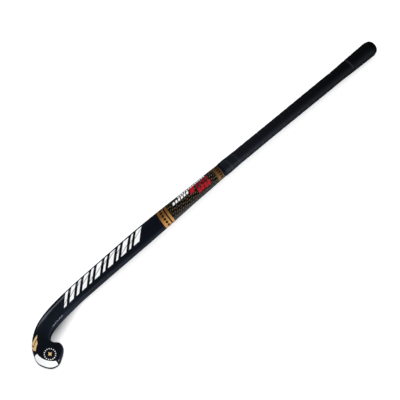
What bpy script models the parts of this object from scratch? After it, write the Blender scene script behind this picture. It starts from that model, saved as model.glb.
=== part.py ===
"""Field hockey stick, built up as a moulded composite stick is.

A hollow laminate skin holds two inner tubes in the shaft and a foam core in the hooked head, with
reinforcing plies between skin and core. A plug and a domed cap close the butt, a tapered collar
builds up its knob, and a cushioned ribbon is wound over the handle and tied off with tape.

The stick lies on its flat playing face at Z = 0. X runs from the head to the butt, the toe points
to -Y, and the rounded back faces +Z. The origin is under the middle of the stick's bounding box.
Heights are measured along the shaft from the base of the head; sideways is +towards the heel.
"""

import bmesh
import bpy
import numpy as np

# overall stick and shaft
STICK_LENGTH = 0.9525
HANDLE_WIDTH = 0.0234
HANDLE_THICKNESS = 0.0232
SHAFT_WIDTH = 0.0392
SHAFT_THICKNESS = 0.0245
NECK_WIDTH = 0.0375
NECK_THICKNESS = 0.0250
HANDLE_LENGTH = 0.3405
WIDEST_AT = 0.320
NECK_AT = 0.170

# head
HEAD_REACH = 0.0878
TOE_HEIGHT = 0.0615
HEAD_THICKNESS = 0.0265
TOE_THICKNESS = 0.0240
TOE_ROUNDING = 0.024

# section shape: corner of the playing face, sideways and upwards, and squareness of the back
HANDLE_CORNER = 0.0095
SHAFT_CORNER = 0.0065
HEAD_CORNER = 0.0050
SHAFT_EDGE_HEIGHT = 0.0085
HEAD_EDGE_HEIGHT = 0.0070
HANDLE_SQUARENESS = 2.0
SHAFT_SQUARENESS = 2.3
HEAD_SQUARENESS = 2.5
SMALLEST_CORNER = 0.0008
CORNER_SHARE = 0.92

# bow: how far the face lifts off the ground between head and butt
BOW_DEPTH = 0.0148
BOW_STARTS_AT = 0.105
BOW_DEEPEST_AT = 0.400
BOW_HEAD_EASE = 1.4
BOW_HANDLE_EASE = 1.6

# walls, plies and clearances
CLEARANCE = 0.0003
SKIN_WALL = 0.0018
TUBE_WALL = 0.0009
PLY_THICKNESS = 0.0010
PLY_TOP = 0.235
PLY_RAMP = 0.020
PLY_TOE_MARGIN = 0.018
EDGE_PLY_SHARE = 0.25
PLY_TRIM = 0.15
CORE_TOP = 0.118

# butt
CAP_HEIGHT = 0.0130
CAP_RADIUS = 0.0151
CAP_SQUARENESS = 2.2
SPIGOT_RADIUS = 0.0040
SPIGOT_LENGTH = 0.018
PLUG_LENGTH = 0.030
DAMPER_START = 0.009
DAMPER_LENGTH = 0.300
COLLAR_THICKNESS = 0.0018
COLLAR_EDGE = 0.0003
COLLAR_LENGTH = 0.0712
COLLAR_LEAD_IN = 0.020

# grip and finishing tape
GRIP_LENGTH = 0.3862
GRIP_PITCH = 0.0195
GRIP_WIDTH = 0.0235
GRIP_THICKNESS = 0.00075
GRIP_LAP_GAP = 0.0002
GRIP_POINT = 0.0015
TAPE_ON_GRIP = 0.0165
TAPE_ON_SHAFT = 0.0045
TAPE_THICKNESS = 0.0004
TAPE_SLOPE = 0.0020

# head outline: height in toe heights, and how far the bend has gone from neck to toe
HEEL_CURVE = [
    (1.951, 0.018), (1.301, 0.067), (0.829, 0.150), (0.463, 0.277),
    (0.198, 0.433), (0.060, 0.587), (0.000, 0.717), (0.068, 0.850), (0.205, 0.955),
]
CROOK_CURVE = [
    (1.951, 0.015), (1.382, 0.067), (1.073, 0.134), (0.878, 0.228),
    (0.813, 0.337), (0.878, 0.435), (0.984, 0.518), (0.989, 0.655), (0.732, 0.891),
]
TOE_TIP = (0.450, 1.000)

# fineness of the facets
BACK_FACETS = 12
CORNER_FACETS = 3
FACE_FACETS = 2
GRIP_FACETS = 24
CAP_FACETS = 24
DOME_FACETS = 8
WRAP_FINENESS = 5
SHAFT_STEP = 0.030
HEAD_STEP = 0.0085
TIP_LENGTH = 0.0090
TIP_SHARES = (1.0, 0.667, 0.378, 0.156)
STEP_MARGIN = 0.0008
RAMP_POINTS = 5
SAMPLES = 400
WELD_DISTANCE = 1e-6
TIP_HALF_WIDTH = 1e-5
SMOOTH_ANGLE = np.radians(35)

TOE_SIDE = BACK_FACETS
FACE_TOE_SIDE = TOE_SIDE + CORNER_FACETS
FACE_HEEL_SIDE = FACE_TOE_SIDE + FACE_FACETS
ROUND = FACE_HEEL_SIDE + CORNER_FACETS

TIP_STEPS = [TIP_LENGTH * share for share in TIP_SHARES]

# heights that follow from the butt
HANDLE_FOOT = STICK_LENGTH - HANDLE_LENGTH
SHELL_TOP = STICK_LENGTH - CAP_HEIGHT - CLEARANCE
PLUG_BOTTOM = SHELL_TOP - PLUG_LENGTH
TUBE_TOP = PLUG_BOTTOM - CLEARANCE
DAMPER_TOP = TUBE_TOP - DAMPER_START
DAMPER_BOTTOM = DAMPER_TOP - DAMPER_LENGTH
COLLAR_BOTTOM = SHELL_TOP - COLLAR_LENGTH
GRIP_TOP = SHELL_TOP
GRIP_BOTTOM = GRIP_TOP - GRIP_LENGTH
TAPE_TOP = GRIP_BOTTOM + TAPE_ON_GRIP
TAPE_BOTTOM = GRIP_BOTTOM - TAPE_ON_SHAFT
LAP_SLOPE = (GRIP_THICKNESS + GRIP_LAP_GAP) / GRIP_PITCH
GRIP_BUILD = GRIP_THICKNESS + LAP_SLOPE * GRIP_WIDTH

# the knob rests on the ribbon's first turn, which meets the underside after three quarters of it
UNDERSIDE_TURN = 0.75
UNDERSIDE_BUILD = GRIP_THICKNESS + LAP_SLOPE * (GRIP_PITCH * UNDERSIDE_TURN + 2 * GRIP_POINT)
BUTT_LIFT = 2 * CLEARANCE + COLLAR_THICKNESS + UNDERSIDE_BUILD


def ease(x):
    """Smooth step from 0 to 1, level at both ends."""
    x = np.clip(x, 0, 1)
    return x * x * (3 - 2 * x)


def eased_between(at, places, values):
    """Value at each place, eased from one place to the next."""
    at = np.asarray(at, float)
    result = np.full(at.shape, float(values[0]))
    for start, end, low, high in zip(places, places[1:], values, values[1:]):
        result = result + (high - low) * ease((at - start) / (end - start))
    return result


def shaft_half_width(height):
    """Half width of the straight shaft: slim handle, widest below it, a little less at the neck."""
    places = (NECK_AT, WIDEST_AT, HANDLE_FOOT)
    return eased_between(height, places, (NECK_WIDTH / 2, SHAFT_WIDTH / 2, HANDLE_WIDTH / 2))


def bow_lift(height):
    """Height of the playing face over the ground: flat head, bowed shaft, butt on its knob."""
    rise = np.clip((height - BOW_STARTS_AT) / (BOW_DEEPEST_AT - BOW_STARTS_AT), 0, 1)
    fall = np.clip((height - BOW_DEEPEST_AT) / (STICK_LENGTH - BOW_DEEPEST_AT), 0, 1)
    head_part = BOW_DEPTH * (1 - (1 - rise) ** 2) ** BOW_HEAD_EASE
    butt_part = BUTT_LIFT + (BOW_DEPTH - BUTT_LIFT) * (1 - fall**2) ** BOW_HANDLE_EASE
    return np.where(height < BOW_DEEPEST_AT, head_part, butt_part)


def natural_spline(knots, points):
    """Second derivatives of the natural cubic through the points."""
    count = len(knots)
    gap = np.diff(knots)[:, None]
    slopes = np.diff(points, axis=0) / gap
    matrix = np.eye(count)
    right = np.zeros_like(points)
    for i in range(1, count - 1):
        matrix[i, i - 1:i + 2] = gap[i - 1, 0], 2 * (gap[i - 1, 0] + gap[i, 0]), gap[i, 0]
        right[i] = 6 * (slopes[i] - slopes[i - 1])
    return np.linalg.solve(matrix, right)


def spline_point(knots, points, bends, at):
    """Points and unit directions of the natural cubic at the given places."""
    i = np.clip(np.searchsorted(knots, at, side="right") - 1, 0, len(knots) - 2)
    gap = (knots[i + 1] - knots[i])[:, None]
    b = (at - knots[i])[:, None] / gap
    a = 1 - b
    bend = ((a**3 - a) * bends[i] + (b**3 - b) * bends[i + 1]) * gap**2 / 6
    place = a * points[i] + b * points[i + 1] + bend
    turn = ((3 * b**2 - 1) * bends[i + 1] - (3 * a**2 - 1) * bends[i]) * gap / 6
    way = (points[i + 1] - points[i]) / gap + turn
    return place, way / np.linalg.norm(way, axis=1, keepdims=True)


def head_edge(curve, side):
    """One edge of the head, from the neck towards the toe; side is +1 at the heel."""
    start = side * NECK_WIDTH / 2
    return [(h * TOE_HEIGHT, start - (HEAD_REACH + start) * bend) for h, bend in curve]


def outline_keys():
    """Points of both edges from butt to toe, with the toe's tip."""
    middle = (WIDEST_AT + HANDLE_FOOT) / 2
    steps = [STICK_LENGTH, (STICK_LENGTH + HANDLE_FOOT) / 2, HANDLE_FOOT, (HANDLE_FOOT + middle) / 2]
    steps += [middle, (WIDEST_AT + middle) / 2, WIDEST_AT, (WIDEST_AT + NECK_AT) / 2, NECK_AT]
    half = shaft_half_width(np.array(steps))
    heel = list(zip(steps, half)) + head_edge(HEEL_CURVE, 1)
    crook = list(zip(steps, -half)) + head_edge(CROOK_CURVE, -1)
    tip = (TOE_TIP[0] * TOE_HEIGHT, -HEAD_REACH * TOE_TIP[1])
    return np.array(heel), np.array(tip), np.array(crook)


HEEL_KEYS, TIP, CROOK_KEYS = outline_keys()
EDGE_POINTS = np.vstack([HEEL_KEYS, TIP, CROOK_KEYS[::-1]])
EDGE_KNOTS = np.concatenate([[0], np.cumsum(np.linalg.norm(np.diff(EDGE_POINTS, axis=0), axis=1))])
EDGE_BENDS = natural_spline(EDGE_KNOTS, EDGE_POINTS)
HEEL_KNOTS = EDGE_KNOTS[:len(HEEL_KEYS) + 1]
CROOK_KNOTS = EDGE_KNOTS[len(HEEL_KEYS):][::-1]
PATH_KNOTS = (HEEL_KNOTS + CROOK_KNOTS[0] - CROOK_KNOTS) / 2
PATH_END = PATH_KNOTS[-1]
FIRST_HEAD_KEY = len(HEEL_KEYS) - len(HEEL_CURVE)


def edges(path, inset=0.0):
    """Heel-side and crook-side points at each distance along the stick, moved in by the inset."""
    inset = np.broadcast_to(inset, np.shape(path))[:, None]
    sides = []
    for knots in (HEEL_KNOTS, CROOK_KNOTS):
        at = np.interp(path, PATH_KNOTS, knots)
        place, way = spline_point(EDGE_KNOTS, EDGE_POINTS, EDGE_BENDS, at)
        inwards = np.stack([-way[:, 1], way[:, 0]], axis=1)
        sides.append(place + inwards * inset)
    return sides


FINE_PATH = np.linspace(0, PATH_KNOTS[FIRST_HEAD_KEY + 2], SAMPLES)
FINE_HEIGHT = np.mean(edges(FINE_PATH), axis=0)[:, 0]


def path_at(height):
    """Distance along the stick at a height on the straight shaft or neck."""
    return np.interp(-np.asarray(height, float), -FINE_HEIGHT, FINE_PATH)


EDGE_SAMPLES = np.linspace(0, EDGE_KNOTS[-1], 10 * SAMPLES)
ENTIRE_EDGE = spline_point(EDGE_KNOTS, EDGE_POINTS, EDGE_BENDS, EDGE_SAMPLES)[0]
CENTRE_HEIGHT = (ENTIRE_EDGE[:, 0].min() + STICK_LENGTH) / 2
CENTRE_SIDE = (ENTIRE_EDGE[:, 1].min() + ENTIRE_EDGE[:, 1].max()) / 2

# places along the stick where the section has its named sizes: butt, handle, shaft, neck, head, tip
PLACES = [0.0, path_at(HANDLE_FOOT), path_at(WIDEST_AT), path_at(NECK_AT)]
PLACES += [(PLACES[-1] + PATH_END) / 2, PATH_END]


def section(path, inset=0.0):
    """Section sizes at each distance along the stick, with the outline and heights moved in."""
    inset = np.broadcast_to(inset, np.shape(path)).astype(float)
    heel, crook = edges(path, inset)
    middle = (heel + crook) / 2
    across = heel - crook
    half = np.linalg.norm(across, axis=1) / 2
    heel_tip, crook_tip = edges(np.full(len(path), PATH_END), inset)
    from_tip = np.linalg.norm(middle - (heel_tip + crook_tip) / 2, axis=1)
    square_to = edges(np.array([PATH_END - TIP_STEPS[-1]]))
    last_way = square_to[0][0] - square_to[1][0]
    across = np.where((half > TIP_HALF_WIDTH)[:, None], across, last_way)
    across = across / np.linalg.norm(across, axis=1, keepdims=True)

    thick = (HANDLE_THICKNESS, HANDLE_THICKNESS, SHAFT_THICKNESS, NECK_THICKNESS, HEAD_THICKNESS)
    thick = eased_between(path, PLACES, thick + (TOE_THICKNESS,))
    corner = (HANDLE_CORNER, HANDLE_CORNER, SHAFT_CORNER, HEAD_CORNER, HEAD_CORNER, HEAD_CORNER)
    corner = np.maximum(eased_between(path, PLACES, corner) - inset, SMALLEST_CORNER)
    edge = (HANDLE_THICKNESS / 2, HANDLE_THICKNESS / 2, SHAFT_EDGE_HEIGHT)
    edge = eased_between(path, PLACES, edge + (HEAD_EDGE_HEIGHT,) * 3)
    square = (HANDLE_SQUARENESS, HANDLE_SQUARENESS, SHAFT_SQUARENESS)
    square = eased_between(path, PLACES, square + (HEAD_SQUARENESS,) * 3)

    back_round = 1 - np.clip(from_tip / (TOE_ROUNDING - inset), 0, 1)
    face_round = 1 - np.clip(from_tip / corner, 0, 1)
    return {
        "middle": middle,
        "across": across,
        "half": half,
        "edge": edge,
        "corner": np.minimum(corner, CORNER_SHARE * half),
        "square": square,
        "top": edge + (thick - inset - edge) * np.sqrt(1 - back_round**2),
        "bottom": edge - (edge - inset) * np.sqrt(1 - face_round**2),
    }


def back_arc(s, start, end, count):
    """Points of the rounded back between two angles, 0 at the heel side and pi at the toe side."""
    angle = np.linspace(start, end, count + 1).T
    power = 2 / s["square"][:, None]
    side = s["half"][:, None] * np.sign(np.cos(angle)) * np.abs(np.cos(angle)) ** power
    up = s["edge"][:, None] + (s["top"] - s["edge"])[:, None] * np.abs(np.sin(angle)) ** power
    return side, up


def corner_arc(s, side, going_down, count):
    """Points of the face's rounded corner on one side, without its first point."""
    angle = np.linspace(0, np.pi / 2, count + 1)
    angle = angle[1:] if going_down else angle[-2::-1]
    out = side * (s["half"][:, None] - s["corner"][:, None] * (1 - np.cos(angle)))
    up = s["edge"][:, None] - (s["edge"] - s["bottom"])[:, None] * np.sin(angle)
    return out, up


def whole_section(s, fineness=1):
    """Sideways and upwards points right round: back, toe-side corner, face, heel-side corner."""
    count = len(s["half"])
    back = back_arc(s, np.zeros(count), np.full(count, np.pi), BACK_FACETS * fineness)
    toe = corner_arc(s, -1, True, CORNER_FACETS * fineness)
    heel = corner_arc(s, 1, False, CORNER_FACETS * fineness)
    flat = np.linspace(-1, 1, FACE_FACETS + 1)[1:] * (s["half"] - s["corner"])[:, None]
    face = flat, np.repeat(s["bottom"][:, None], FACE_FACETS, axis=1)
    return [np.hstack(parts)[:, :-1] for parts in zip(back, toe, face, heel)]


def half_section(s, side, web):
    """Points round one half of the section, cut flat along its middle at the web's distance."""
    web_angle = np.arccos((web / s["half"]) ** (s["square"] / 2))
    back, back_up = back_arc(s, np.zeros_like(web_angle), web_angle, BACK_FACETS // 2)
    corner, corner_up = corner_arc(s, 1, False, CORNER_FACETS)
    foot_up = s["bottom"][:, None]
    web_foot = np.full_like(foot_up, web)
    corner_foot = (s["half"] - s["corner"])[:, None]
    sideways = np.hstack([back, web_foot, corner_foot, corner[:, :-1]])
    upwards = np.hstack([back_up, foot_up, foot_up, corner_up[:, :-1]])
    return side * sideways, upwards


def place(s, sideways, upwards):
    """World points of section points, with the bow added and the origin under the middle."""
    flat = s["middle"][:, None, :] + s["across"][:, None, :] * sideways[..., None]
    height, side = flat[..., 0], flat[..., 1]
    lift = upwards + bow_lift(height)
    return np.stack([height - CENTRE_HEIGHT, side - CENTRE_SIDE, lift], axis=-1)


def stations(start, end):
    """Distances along the stick, coarse on the shaft and fine in the head, with both ends."""
    tip = PATH_END - np.array(TIP_STEPS)
    keys = PATH_KNOTS[FIRST_HEAD_KEY - 1:]
    stops = np.concatenate([[0.0], keys[keys < tip[0] - STEP_MARGIN], tip[:1]])
    steps = [SHAFT_STEP] + [HEAD_STEP] * (len(stops) - 2)
    grid = [
        np.linspace(low, high, int(np.ceil((high - low) / step)), endpoint=False)
        for low, high, step in zip(stops, stops[1:], steps)
    ]
    grid = np.concatenate(grid + [tip, [PATH_END]])
    inside = grid[(grid > start + STEP_MARGIN) & (grid < end - STEP_MARGIN)]
    return np.concatenate([[start], inside, [end]])


def rings(path, inset=0.0):
    """Whole sections at each distance along the stick."""
    s = section(path, inset)
    return place(s, *whole_section(s))


def grid_faces(rows, around, offset=0, closed=True):
    """Four-sided faces between neighbouring rows of points."""
    row = np.arange(rows - 1)[:, None] * around
    col = np.arange(around if closed else around - 1)[None, :]
    after = (col + 1) % around
    corners = np.stack([row + col, row + after, row + around + after, row + around + col], axis=-1)
    return (corners.reshape(-1, 4) + offset).tolist()


def fan_faces(first, around, hub):
    """Triangles from a ring of points to one hub point."""
    return [(first + i, first + (i + 1) % around, hub) for i in range(around)]


def material(name, colour, roughness, metallic=0.0):
    """Principled material of one sub-part."""
    made = bpy.data.materials.new(name)
    made.use_nodes = True
    shader = made.node_tree.nodes["Principled BSDF"]
    shader.inputs["Base Color"].default_value = (*colour, 1.0)
    shader.inputs["Roughness"].default_value = roughness
    shader.inputs["Metallic"].default_value = metallic
    return made


def add_solid(name, points, faces, look):
    """Named object from points and faces, welded and with its faces pointing out."""
    mesh = bpy.data.meshes.new(name)
    mesh.from_pydata([tuple(p) for p in points], [], faces)
    shape = bmesh.new()
    shape.from_mesh(mesh)
    bmesh.ops.remove_doubles(shape, verts=shape.verts, dist=WELD_DISTANCE)
    bmesh.ops.recalc_face_normals(shape, faces=shape.faces)
    if shape.calc_volume(signed=True) < 0:
        bmesh.ops.reverse_faces(shape, faces=shape.faces)
    shape.to_mesh(mesh)
    shape.free()
    mesh.shade_smooth()
    mesh.set_sharp_from_angle(angle=SMOOTH_ANGLE)
    mesh.materials.append(look)
    solid = bpy.data.objects.new(name, mesh)
    parts.objects.link(solid)
    return solid


def add_loft(name, loops, look):
    """Closed solid through loops of points, with a hub at the middle of each end loop."""
    rows, around, _ = loops.shape
    points = np.vstack([loops.reshape(-1, 3), loops[0].mean(axis=0), loops[-1].mean(axis=0)])
    last = (rows - 1) * around
    faces = grid_faces(rows, around)
    faces += fan_faces(0, around, rows * around)
    faces += fan_faces(last, around, rows * around + 1)
    return add_solid(name, points, faces, look)


def add_tube(name, outer, inner, look):
    """Solid between outer and inner loops, open at both ends."""
    rows, around, _ = outer.shape
    points = np.vstack([outer.reshape(-1, 3), inner.reshape(-1, 3)])
    count = rows * around
    faces = grid_faces(rows, around) + grid_faces(rows, around, count)
    for first in (0, count - around):
        rims = np.arange(first, first + around)
        for a, b in zip(rims, np.roll(rims, -1)):
            faces.append((int(a), int(b), int(b + count), int(a + count)))
    return add_solid(name, points, faces, look)


def add_layer(name, outer, inner, look):
    """Solid between two open sheets of points, closed along their four borders."""
    rows, across, _ = outer.shape
    points = np.vstack([outer.reshape(-1, 3), inner.reshape(-1, 3)])
    count = rows * across
    faces = grid_faces(rows, across, closed=False)
    faces += grid_faces(rows, across, count, closed=False)
    index = np.arange(count).reshape(rows, across)
    for border in (index[0], index[-1], index[:, 0], index[:, -1]):
        for a, b in zip(border.tolist(), border.tolist()[1:]):
            faces.append((a, b, b + count, a + count))
    return add_solid(name, points, faces, look)


def outer_skin():
    """Laminate skin, open at the butt and closed round the toe."""
    path = stations(path_at(SHELL_TOP), PATH_END)
    outer, inner = rings(path), rings(path, SKIN_WALL)
    rows, around, _ = outer.shape
    count = (rows - 1) * around
    hubs = np.array([outer[-1].mean(axis=0), inner[-1].mean(axis=0)])
    points = np.vstack([outer[:-1].reshape(-1, 3), inner[:-1].reshape(-1, 3), hubs])
    faces = grid_faces(rows - 1, around) + grid_faces(rows - 1, around, count)
    faces += fan_faces(count - around, around, 2 * count)
    faces += fan_faces(2 * count - around, around, 2 * count + 1)
    for a in range(around):
        b = (a + 1) % around
        faces.append((a, b, count + b, count + a))
    look = material("black_lacquered_laminate", (0.010, 0.013, 0.019), 0.16)
    add_solid("laminate_skin", points, faces, look)


def ply_strip(name, start, end, look):
    """Reinforcing ply between two places round the section, laid inside the skin of the head."""
    path = stations(path_at(PLY_TOP), PATH_END - PLY_TOE_MARGIN)
    around = [start] + list(range(int(np.ceil(start)), int(np.floor(end)) + 1)) + [end]
    around = np.unique(np.array(around, float))
    low = np.floor(around).astype(int)
    share = (around - low)[:, None]
    layers = []
    for inset in (SKIN_WALL + CLEARANCE, SKIN_WALL + CLEARANCE + PLY_THICKNESS):
        ring = rings(path, inset)
        layers.append(ring[:, low % ROUND] * (1 - share) + ring[:, (low + 1) % ROUND] * share)
    add_layer(name, *layers, look)


def plies():
    """Aramid ply under the face, and carbon plies along the heel, the crook and the back."""
    aramid = material("aramid_ply", (0.52, 0.40, 0.10), 0.6)
    carbon = material("carbon_ply", (0.03, 0.03, 0.035), 0.5)
    heel_end = BACK_FACETS * EDGE_PLY_SHARE
    crook_start = TOE_SIDE - BACK_FACETS * EDGE_PLY_SHARE
    strips = (
        ("face_ply", FACE_TOE_SIDE, FACE_HEEL_SIDE, aramid),
        ("heel_edge_ply", FACE_HEEL_SIDE, ROUND + heel_end, carbon),
        ("crook_edge_ply", crook_start, FACE_TOE_SIDE, carbon),
        ("back_ply", heel_end, crook_start, carbon),
    )
    for name, start, end, look in strips:
        ply_strip(name, start + PLY_TRIM, end - PLY_TRIM, look)


def core_inset(path):
    """Depth of what lies inside the skin, deeper where the plies are laid between."""
    bare = SKIN_WALL + CLEARANCE
    plied = bare + PLY_THICKNESS + CLEARANCE
    ply_end = path_at(PLY_TOP)
    return eased_between(path, (ply_end - PLY_RAMP, ply_end - CLEARANCE), (bare, plied))


def head_core():
    """Foam core that fills the head below the two tubes."""
    path = stations(path_at(CORE_TOP), PATH_END)
    look = material("cream_structural_foam", (0.72, 0.62, 0.40), 0.85)
    add_loft("head_core", rings(path, core_inset(path)), look)


def shaft_insides():
    """Two moulded tubes side by side, whose flat sides make the web, and a damper in each."""
    tube_look = material("inner_carbon_tube", (0.04, 0.04, 0.045), 0.45)
    foam_look = material("grey_damping_foam", (0.22, 0.23, 0.24), 0.9)
    ply_end = path_at(PLY_TOP)
    ramp = np.linspace(ply_end - PLY_RAMP, ply_end, RAMP_POINTS)
    path = stations(path_at(TUBE_TOP), path_at(CORE_TOP) - CLEARANCE)
    tube_path = np.unique(np.concatenate([path, ramp]))
    foam_path = stations(path_at(DAMPER_TOP), path_at(DAMPER_BOTTOM))
    web = CLEARANCE / 2
    for name, side in (("heel_side", 1), ("toe_side", -1)):
        outer = section(tube_path, core_inset(tube_path))
        inner = section(tube_path, core_inset(tube_path) + TUBE_WALL)
        outer_loops = place(outer, *half_section(outer, side, web))
        inner_loops = place(inner, *half_section(inner, side, web + TUBE_WALL))
        add_tube(name + "_tube", outer_loops, inner_loops, tube_look)
        depth = TUBE_WALL + CLEARANCE
        foam = section(foam_path, core_inset(foam_path) + depth)
        loops = place(foam, *half_section(foam, side, web + depth))
        add_loft(name + "_damper", loops, foam_look)


def handle_axis(height):
    """Sideways place and height of the handle's middle."""
    return -CENTRE_SIDE, float(bow_lift(height)) + HANDLE_THICKNESS / 2


def butt_plug():
    """Foam plug that closes the shell's end, bored for the cap's spigot."""
    path = np.array([path_at(SHELL_TOP), path_at(PLUG_BOTTOM)])
    outer = rings(path, SKIN_WALL + CLEARANCE)
    side, up = handle_axis(SHELL_TOP)
    spoke = outer - np.array([0, side, up])
    spoke[..., 0] = 0
    spoke /= np.linalg.norm(spoke, axis=-1, keepdims=True)
    bore = np.array([0, side, up]) + spoke * (SPIGOT_RADIUS + CLEARANCE)
    bore[..., 0] = outer[..., 0]
    look = material("white_plug_foam", (0.75, 0.75, 0.72), 0.8)
    add_tube("butt_plug", outer, bore, look)


def butt_cap():
    """Domed rubber cap with a spigot, turned about the handle's axis."""
    base = STICK_LENGTH - CAP_HEIGHT
    angle = np.linspace(0, np.pi / 2, DOME_FACETS + 1)[1:-1]
    dome = [(CAP_RADIUS * np.cos(a) ** (2 / CAP_SQUARENESS), np.sin(a) ** (2 / CAP_SQUARENESS))
            for a in angle]
    profile = [(0, STICK_LENGTH)]
    profile += [(radius, base + CAP_HEIGHT * along) for radius, along in reversed(dome)]
    profile += [(CAP_RADIUS, base), (SPIGOT_RADIUS, base), (SPIGOT_RADIUS, base - SPIGOT_LENGTH)]
    profile += [(0, base - SPIGOT_LENGTH)]
    side, up = handle_axis(base)
    mesh = bpy.data.meshes.new("butt_cap")
    points = [(radius, 0, height - base) for radius, height in profile]
    mesh.from_pydata(points, [(i, i + 1) for i in range(len(points) - 1)], [])
    mesh.materials.append(material("black_rubber_cap", (0.012, 0.012, 0.013), 0.6))
    cap = bpy.data.objects.new("butt_cap", mesh)
    cap.location = (base - CENTRE_HEIGHT, side, up)
    cap.rotation_euler = (0, np.pi / 2, 0)
    turn = cap.modifiers.new("turn", "SCREW")
    turn.steps = CAP_FACETS
    turn.render_steps = CAP_FACETS
    turn.use_merge_vertices = True
    turn.merge_threshold = 0.0001
    parts.objects.link(cap)


def wrap_points(height, turn, outset):
    """World points on the handle at a height, a share of a turn from the heel side, and an outset."""
    s = section(path_at(height), -outset)
    loop = np.stack(whole_section(s, WRAP_FINENESS), axis=-1)
    loop = np.concatenate([loop, loop[:, :1]], axis=1)
    length = np.cumsum(np.linalg.norm(np.diff(loop, axis=1), axis=2), axis=1)
    length = np.hstack([np.zeros((len(loop), 1)), length])
    along = (turn % 1.0) * length[:, -1]
    pick = np.sum(length <= along[:, None], axis=1) - 1
    row = np.arange(len(loop))
    share = (along - length[row, pick]) / (length[row, pick + 1] - length[row, pick])
    at = loop[row, pick] * (1 - share[:, None]) + loop[row, pick + 1] * share[:, None]
    return place(s, at[:, 0:1], at[:, 1:2])[:, 0]


def support(height):
    """How far outside the shell the grip's lower face lies, over the collar near the butt."""
    places = (COLLAR_BOTTOM - COLLAR_LEAD_IN, COLLAR_BOTTOM, SHELL_TOP)
    over_edge = 2 * CLEARANCE + COLLAR_EDGE
    return np.interp(height, places, (CLEARANCE, over_edge, 2 * CLEARANCE + COLLAR_THICKNESS))


def add_sleeve(name, profile, look):
    """Ring-shaped solid round the handle from a closed profile of (height, outset) points."""
    height, outset = np.array(profile).T
    turns = np.arange(GRIP_FACETS) / GRIP_FACETS
    loops = np.array([wrap_points(height, np.full(len(height), turn), outset) for turn in turns])
    rows, around, _ = loops.shape
    faces = grid_faces(rows, around)
    last = (rows - 1) * around
    for a in range(around):
        b = (a + 1) % around
        faces.append((last + a, last + b, b, a))
    add_solid(name, loops.reshape(-1, 3), faces, look)


def knob_collar():
    """Tapered collar bonded round the butt end, which builds up the knob under the grip."""
    inner, edge = CLEARANCE, CLEARANCE + COLLAR_EDGE
    top = CLEARANCE + COLLAR_THICKNESS
    profile = [(COLLAR_BOTTOM, inner), (COLLAR_BOTTOM, edge), (SHELL_TOP, top), (SHELL_TOP, inner)]
    add_sleeve("knob_collar", profile, material("grey_collar_foam", (0.16, 0.16, 0.17), 0.85))


def grip_ribbon():
    """Cushioned ribbon wound down the handle from the butt, each turn lapped under the one above."""
    start = GRIP_TOP + GRIP_WIDTH - 2 * GRIP_POINT
    end = GRIP_BOTTOM + GRIP_POINT
    low_edge_start = start - GRIP_WIDTH
    turns = (low_edge_start - end) / GRIP_PITCH + 1 - 2 * GRIP_POINT / GRIP_PITCH
    count = int(np.floor(turns * GRIP_FACETS))
    turn = np.arange(count + 1) / GRIP_FACETS
    edge = low_edge_start - GRIP_PITCH * turn
    low = np.maximum(edge, GRIP_BOTTOM)
    high = np.maximum(np.minimum(edge + GRIP_WIDTH, GRIP_TOP), low + GRIP_POINT)
    corners = []
    for height, above in ((low, 0), (high, 0), (high, 1), (low, 1)):
        outset = support(height) + LAP_SLOPE * (height - edge) + GRIP_THICKNESS * above
        corners.append(wrap_points(height, turn, outset))
    look = material("black_grip_ribbon", (0.014, 0.014, 0.018), 0.62)
    add_loft("grip_ribbon", np.stack(corners, axis=1), look)


def finishing_tape():
    """Tape wound round the grip's lower end and the bare shaft below it."""
    on_shell = CLEARANCE
    on_grip = CLEARANCE + GRIP_BUILD + CLEARANCE
    step = GRIP_BOTTOM - CLEARANCE
    under = [(TAPE_BOTTOM, on_shell), (step - TAPE_SLOPE, on_shell), (step, on_grip), (TAPE_TOP, on_grip)]
    over = [(height, outset + TAPE_THICKNESS) for height, outset in reversed(under)]
    look = material("black_vinyl_tape", (0.012, 0.013, 0.016), 0.35)
    add_sleeve("finishing_tape", under + over, look)


for old in list(bpy.data.objects):
    bpy.data.objects.remove(old)
parts = bpy.data.collections.new("field_hockey_stick")
bpy.context.scene.collection.children.link(parts)

outer_skin()
plies()
head_core()
shaft_insides()
butt_plug()
butt_cap()
knob_collar()
grip_ribbon()
finishing_tape()
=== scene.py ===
"""Field hockey stick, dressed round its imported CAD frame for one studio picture.

The stick lies on its flat playing face at Z = 0. X runs from the head to the butt, the toe points
to -Y and the rounded back faces up. "Height" is measured along the shaft from the base of the head,
"run" along the bent stick from the butt, and "girth" round it from the middle of the back, which is
plus on the heel side. Shapes are in metres, printed decoration is laid out in millimetres.
"""

import math

import bpy
import numpy as np
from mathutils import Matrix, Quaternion, Vector


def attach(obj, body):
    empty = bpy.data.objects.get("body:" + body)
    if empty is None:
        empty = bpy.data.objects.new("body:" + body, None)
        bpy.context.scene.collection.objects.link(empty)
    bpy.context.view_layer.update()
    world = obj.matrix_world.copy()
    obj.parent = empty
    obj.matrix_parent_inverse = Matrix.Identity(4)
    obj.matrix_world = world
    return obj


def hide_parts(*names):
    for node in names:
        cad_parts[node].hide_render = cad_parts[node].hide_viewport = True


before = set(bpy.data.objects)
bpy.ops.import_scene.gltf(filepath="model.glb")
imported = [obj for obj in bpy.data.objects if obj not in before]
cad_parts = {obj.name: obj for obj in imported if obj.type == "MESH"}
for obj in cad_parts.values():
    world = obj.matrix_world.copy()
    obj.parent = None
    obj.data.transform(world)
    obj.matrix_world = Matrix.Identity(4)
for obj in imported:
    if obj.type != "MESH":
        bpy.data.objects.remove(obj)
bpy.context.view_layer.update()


# The picture is taken from high over the stick's toe side, with a long lens and no shift, so that
# the stick runs from the lower left of the frame to the upper right.
VIEW_AZIMUTH = math.radians(-42.40)
VIEW_ELEVATION = math.radians(66)
AIM = Vector((-0.0078, 0.0176, 0.0188))
METRES_PER_PIXEL = 0.0019726
PICTURE_PIXELS = 400
LENS = 1000
SENSOR = 36
NEAREST = 0.1
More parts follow.
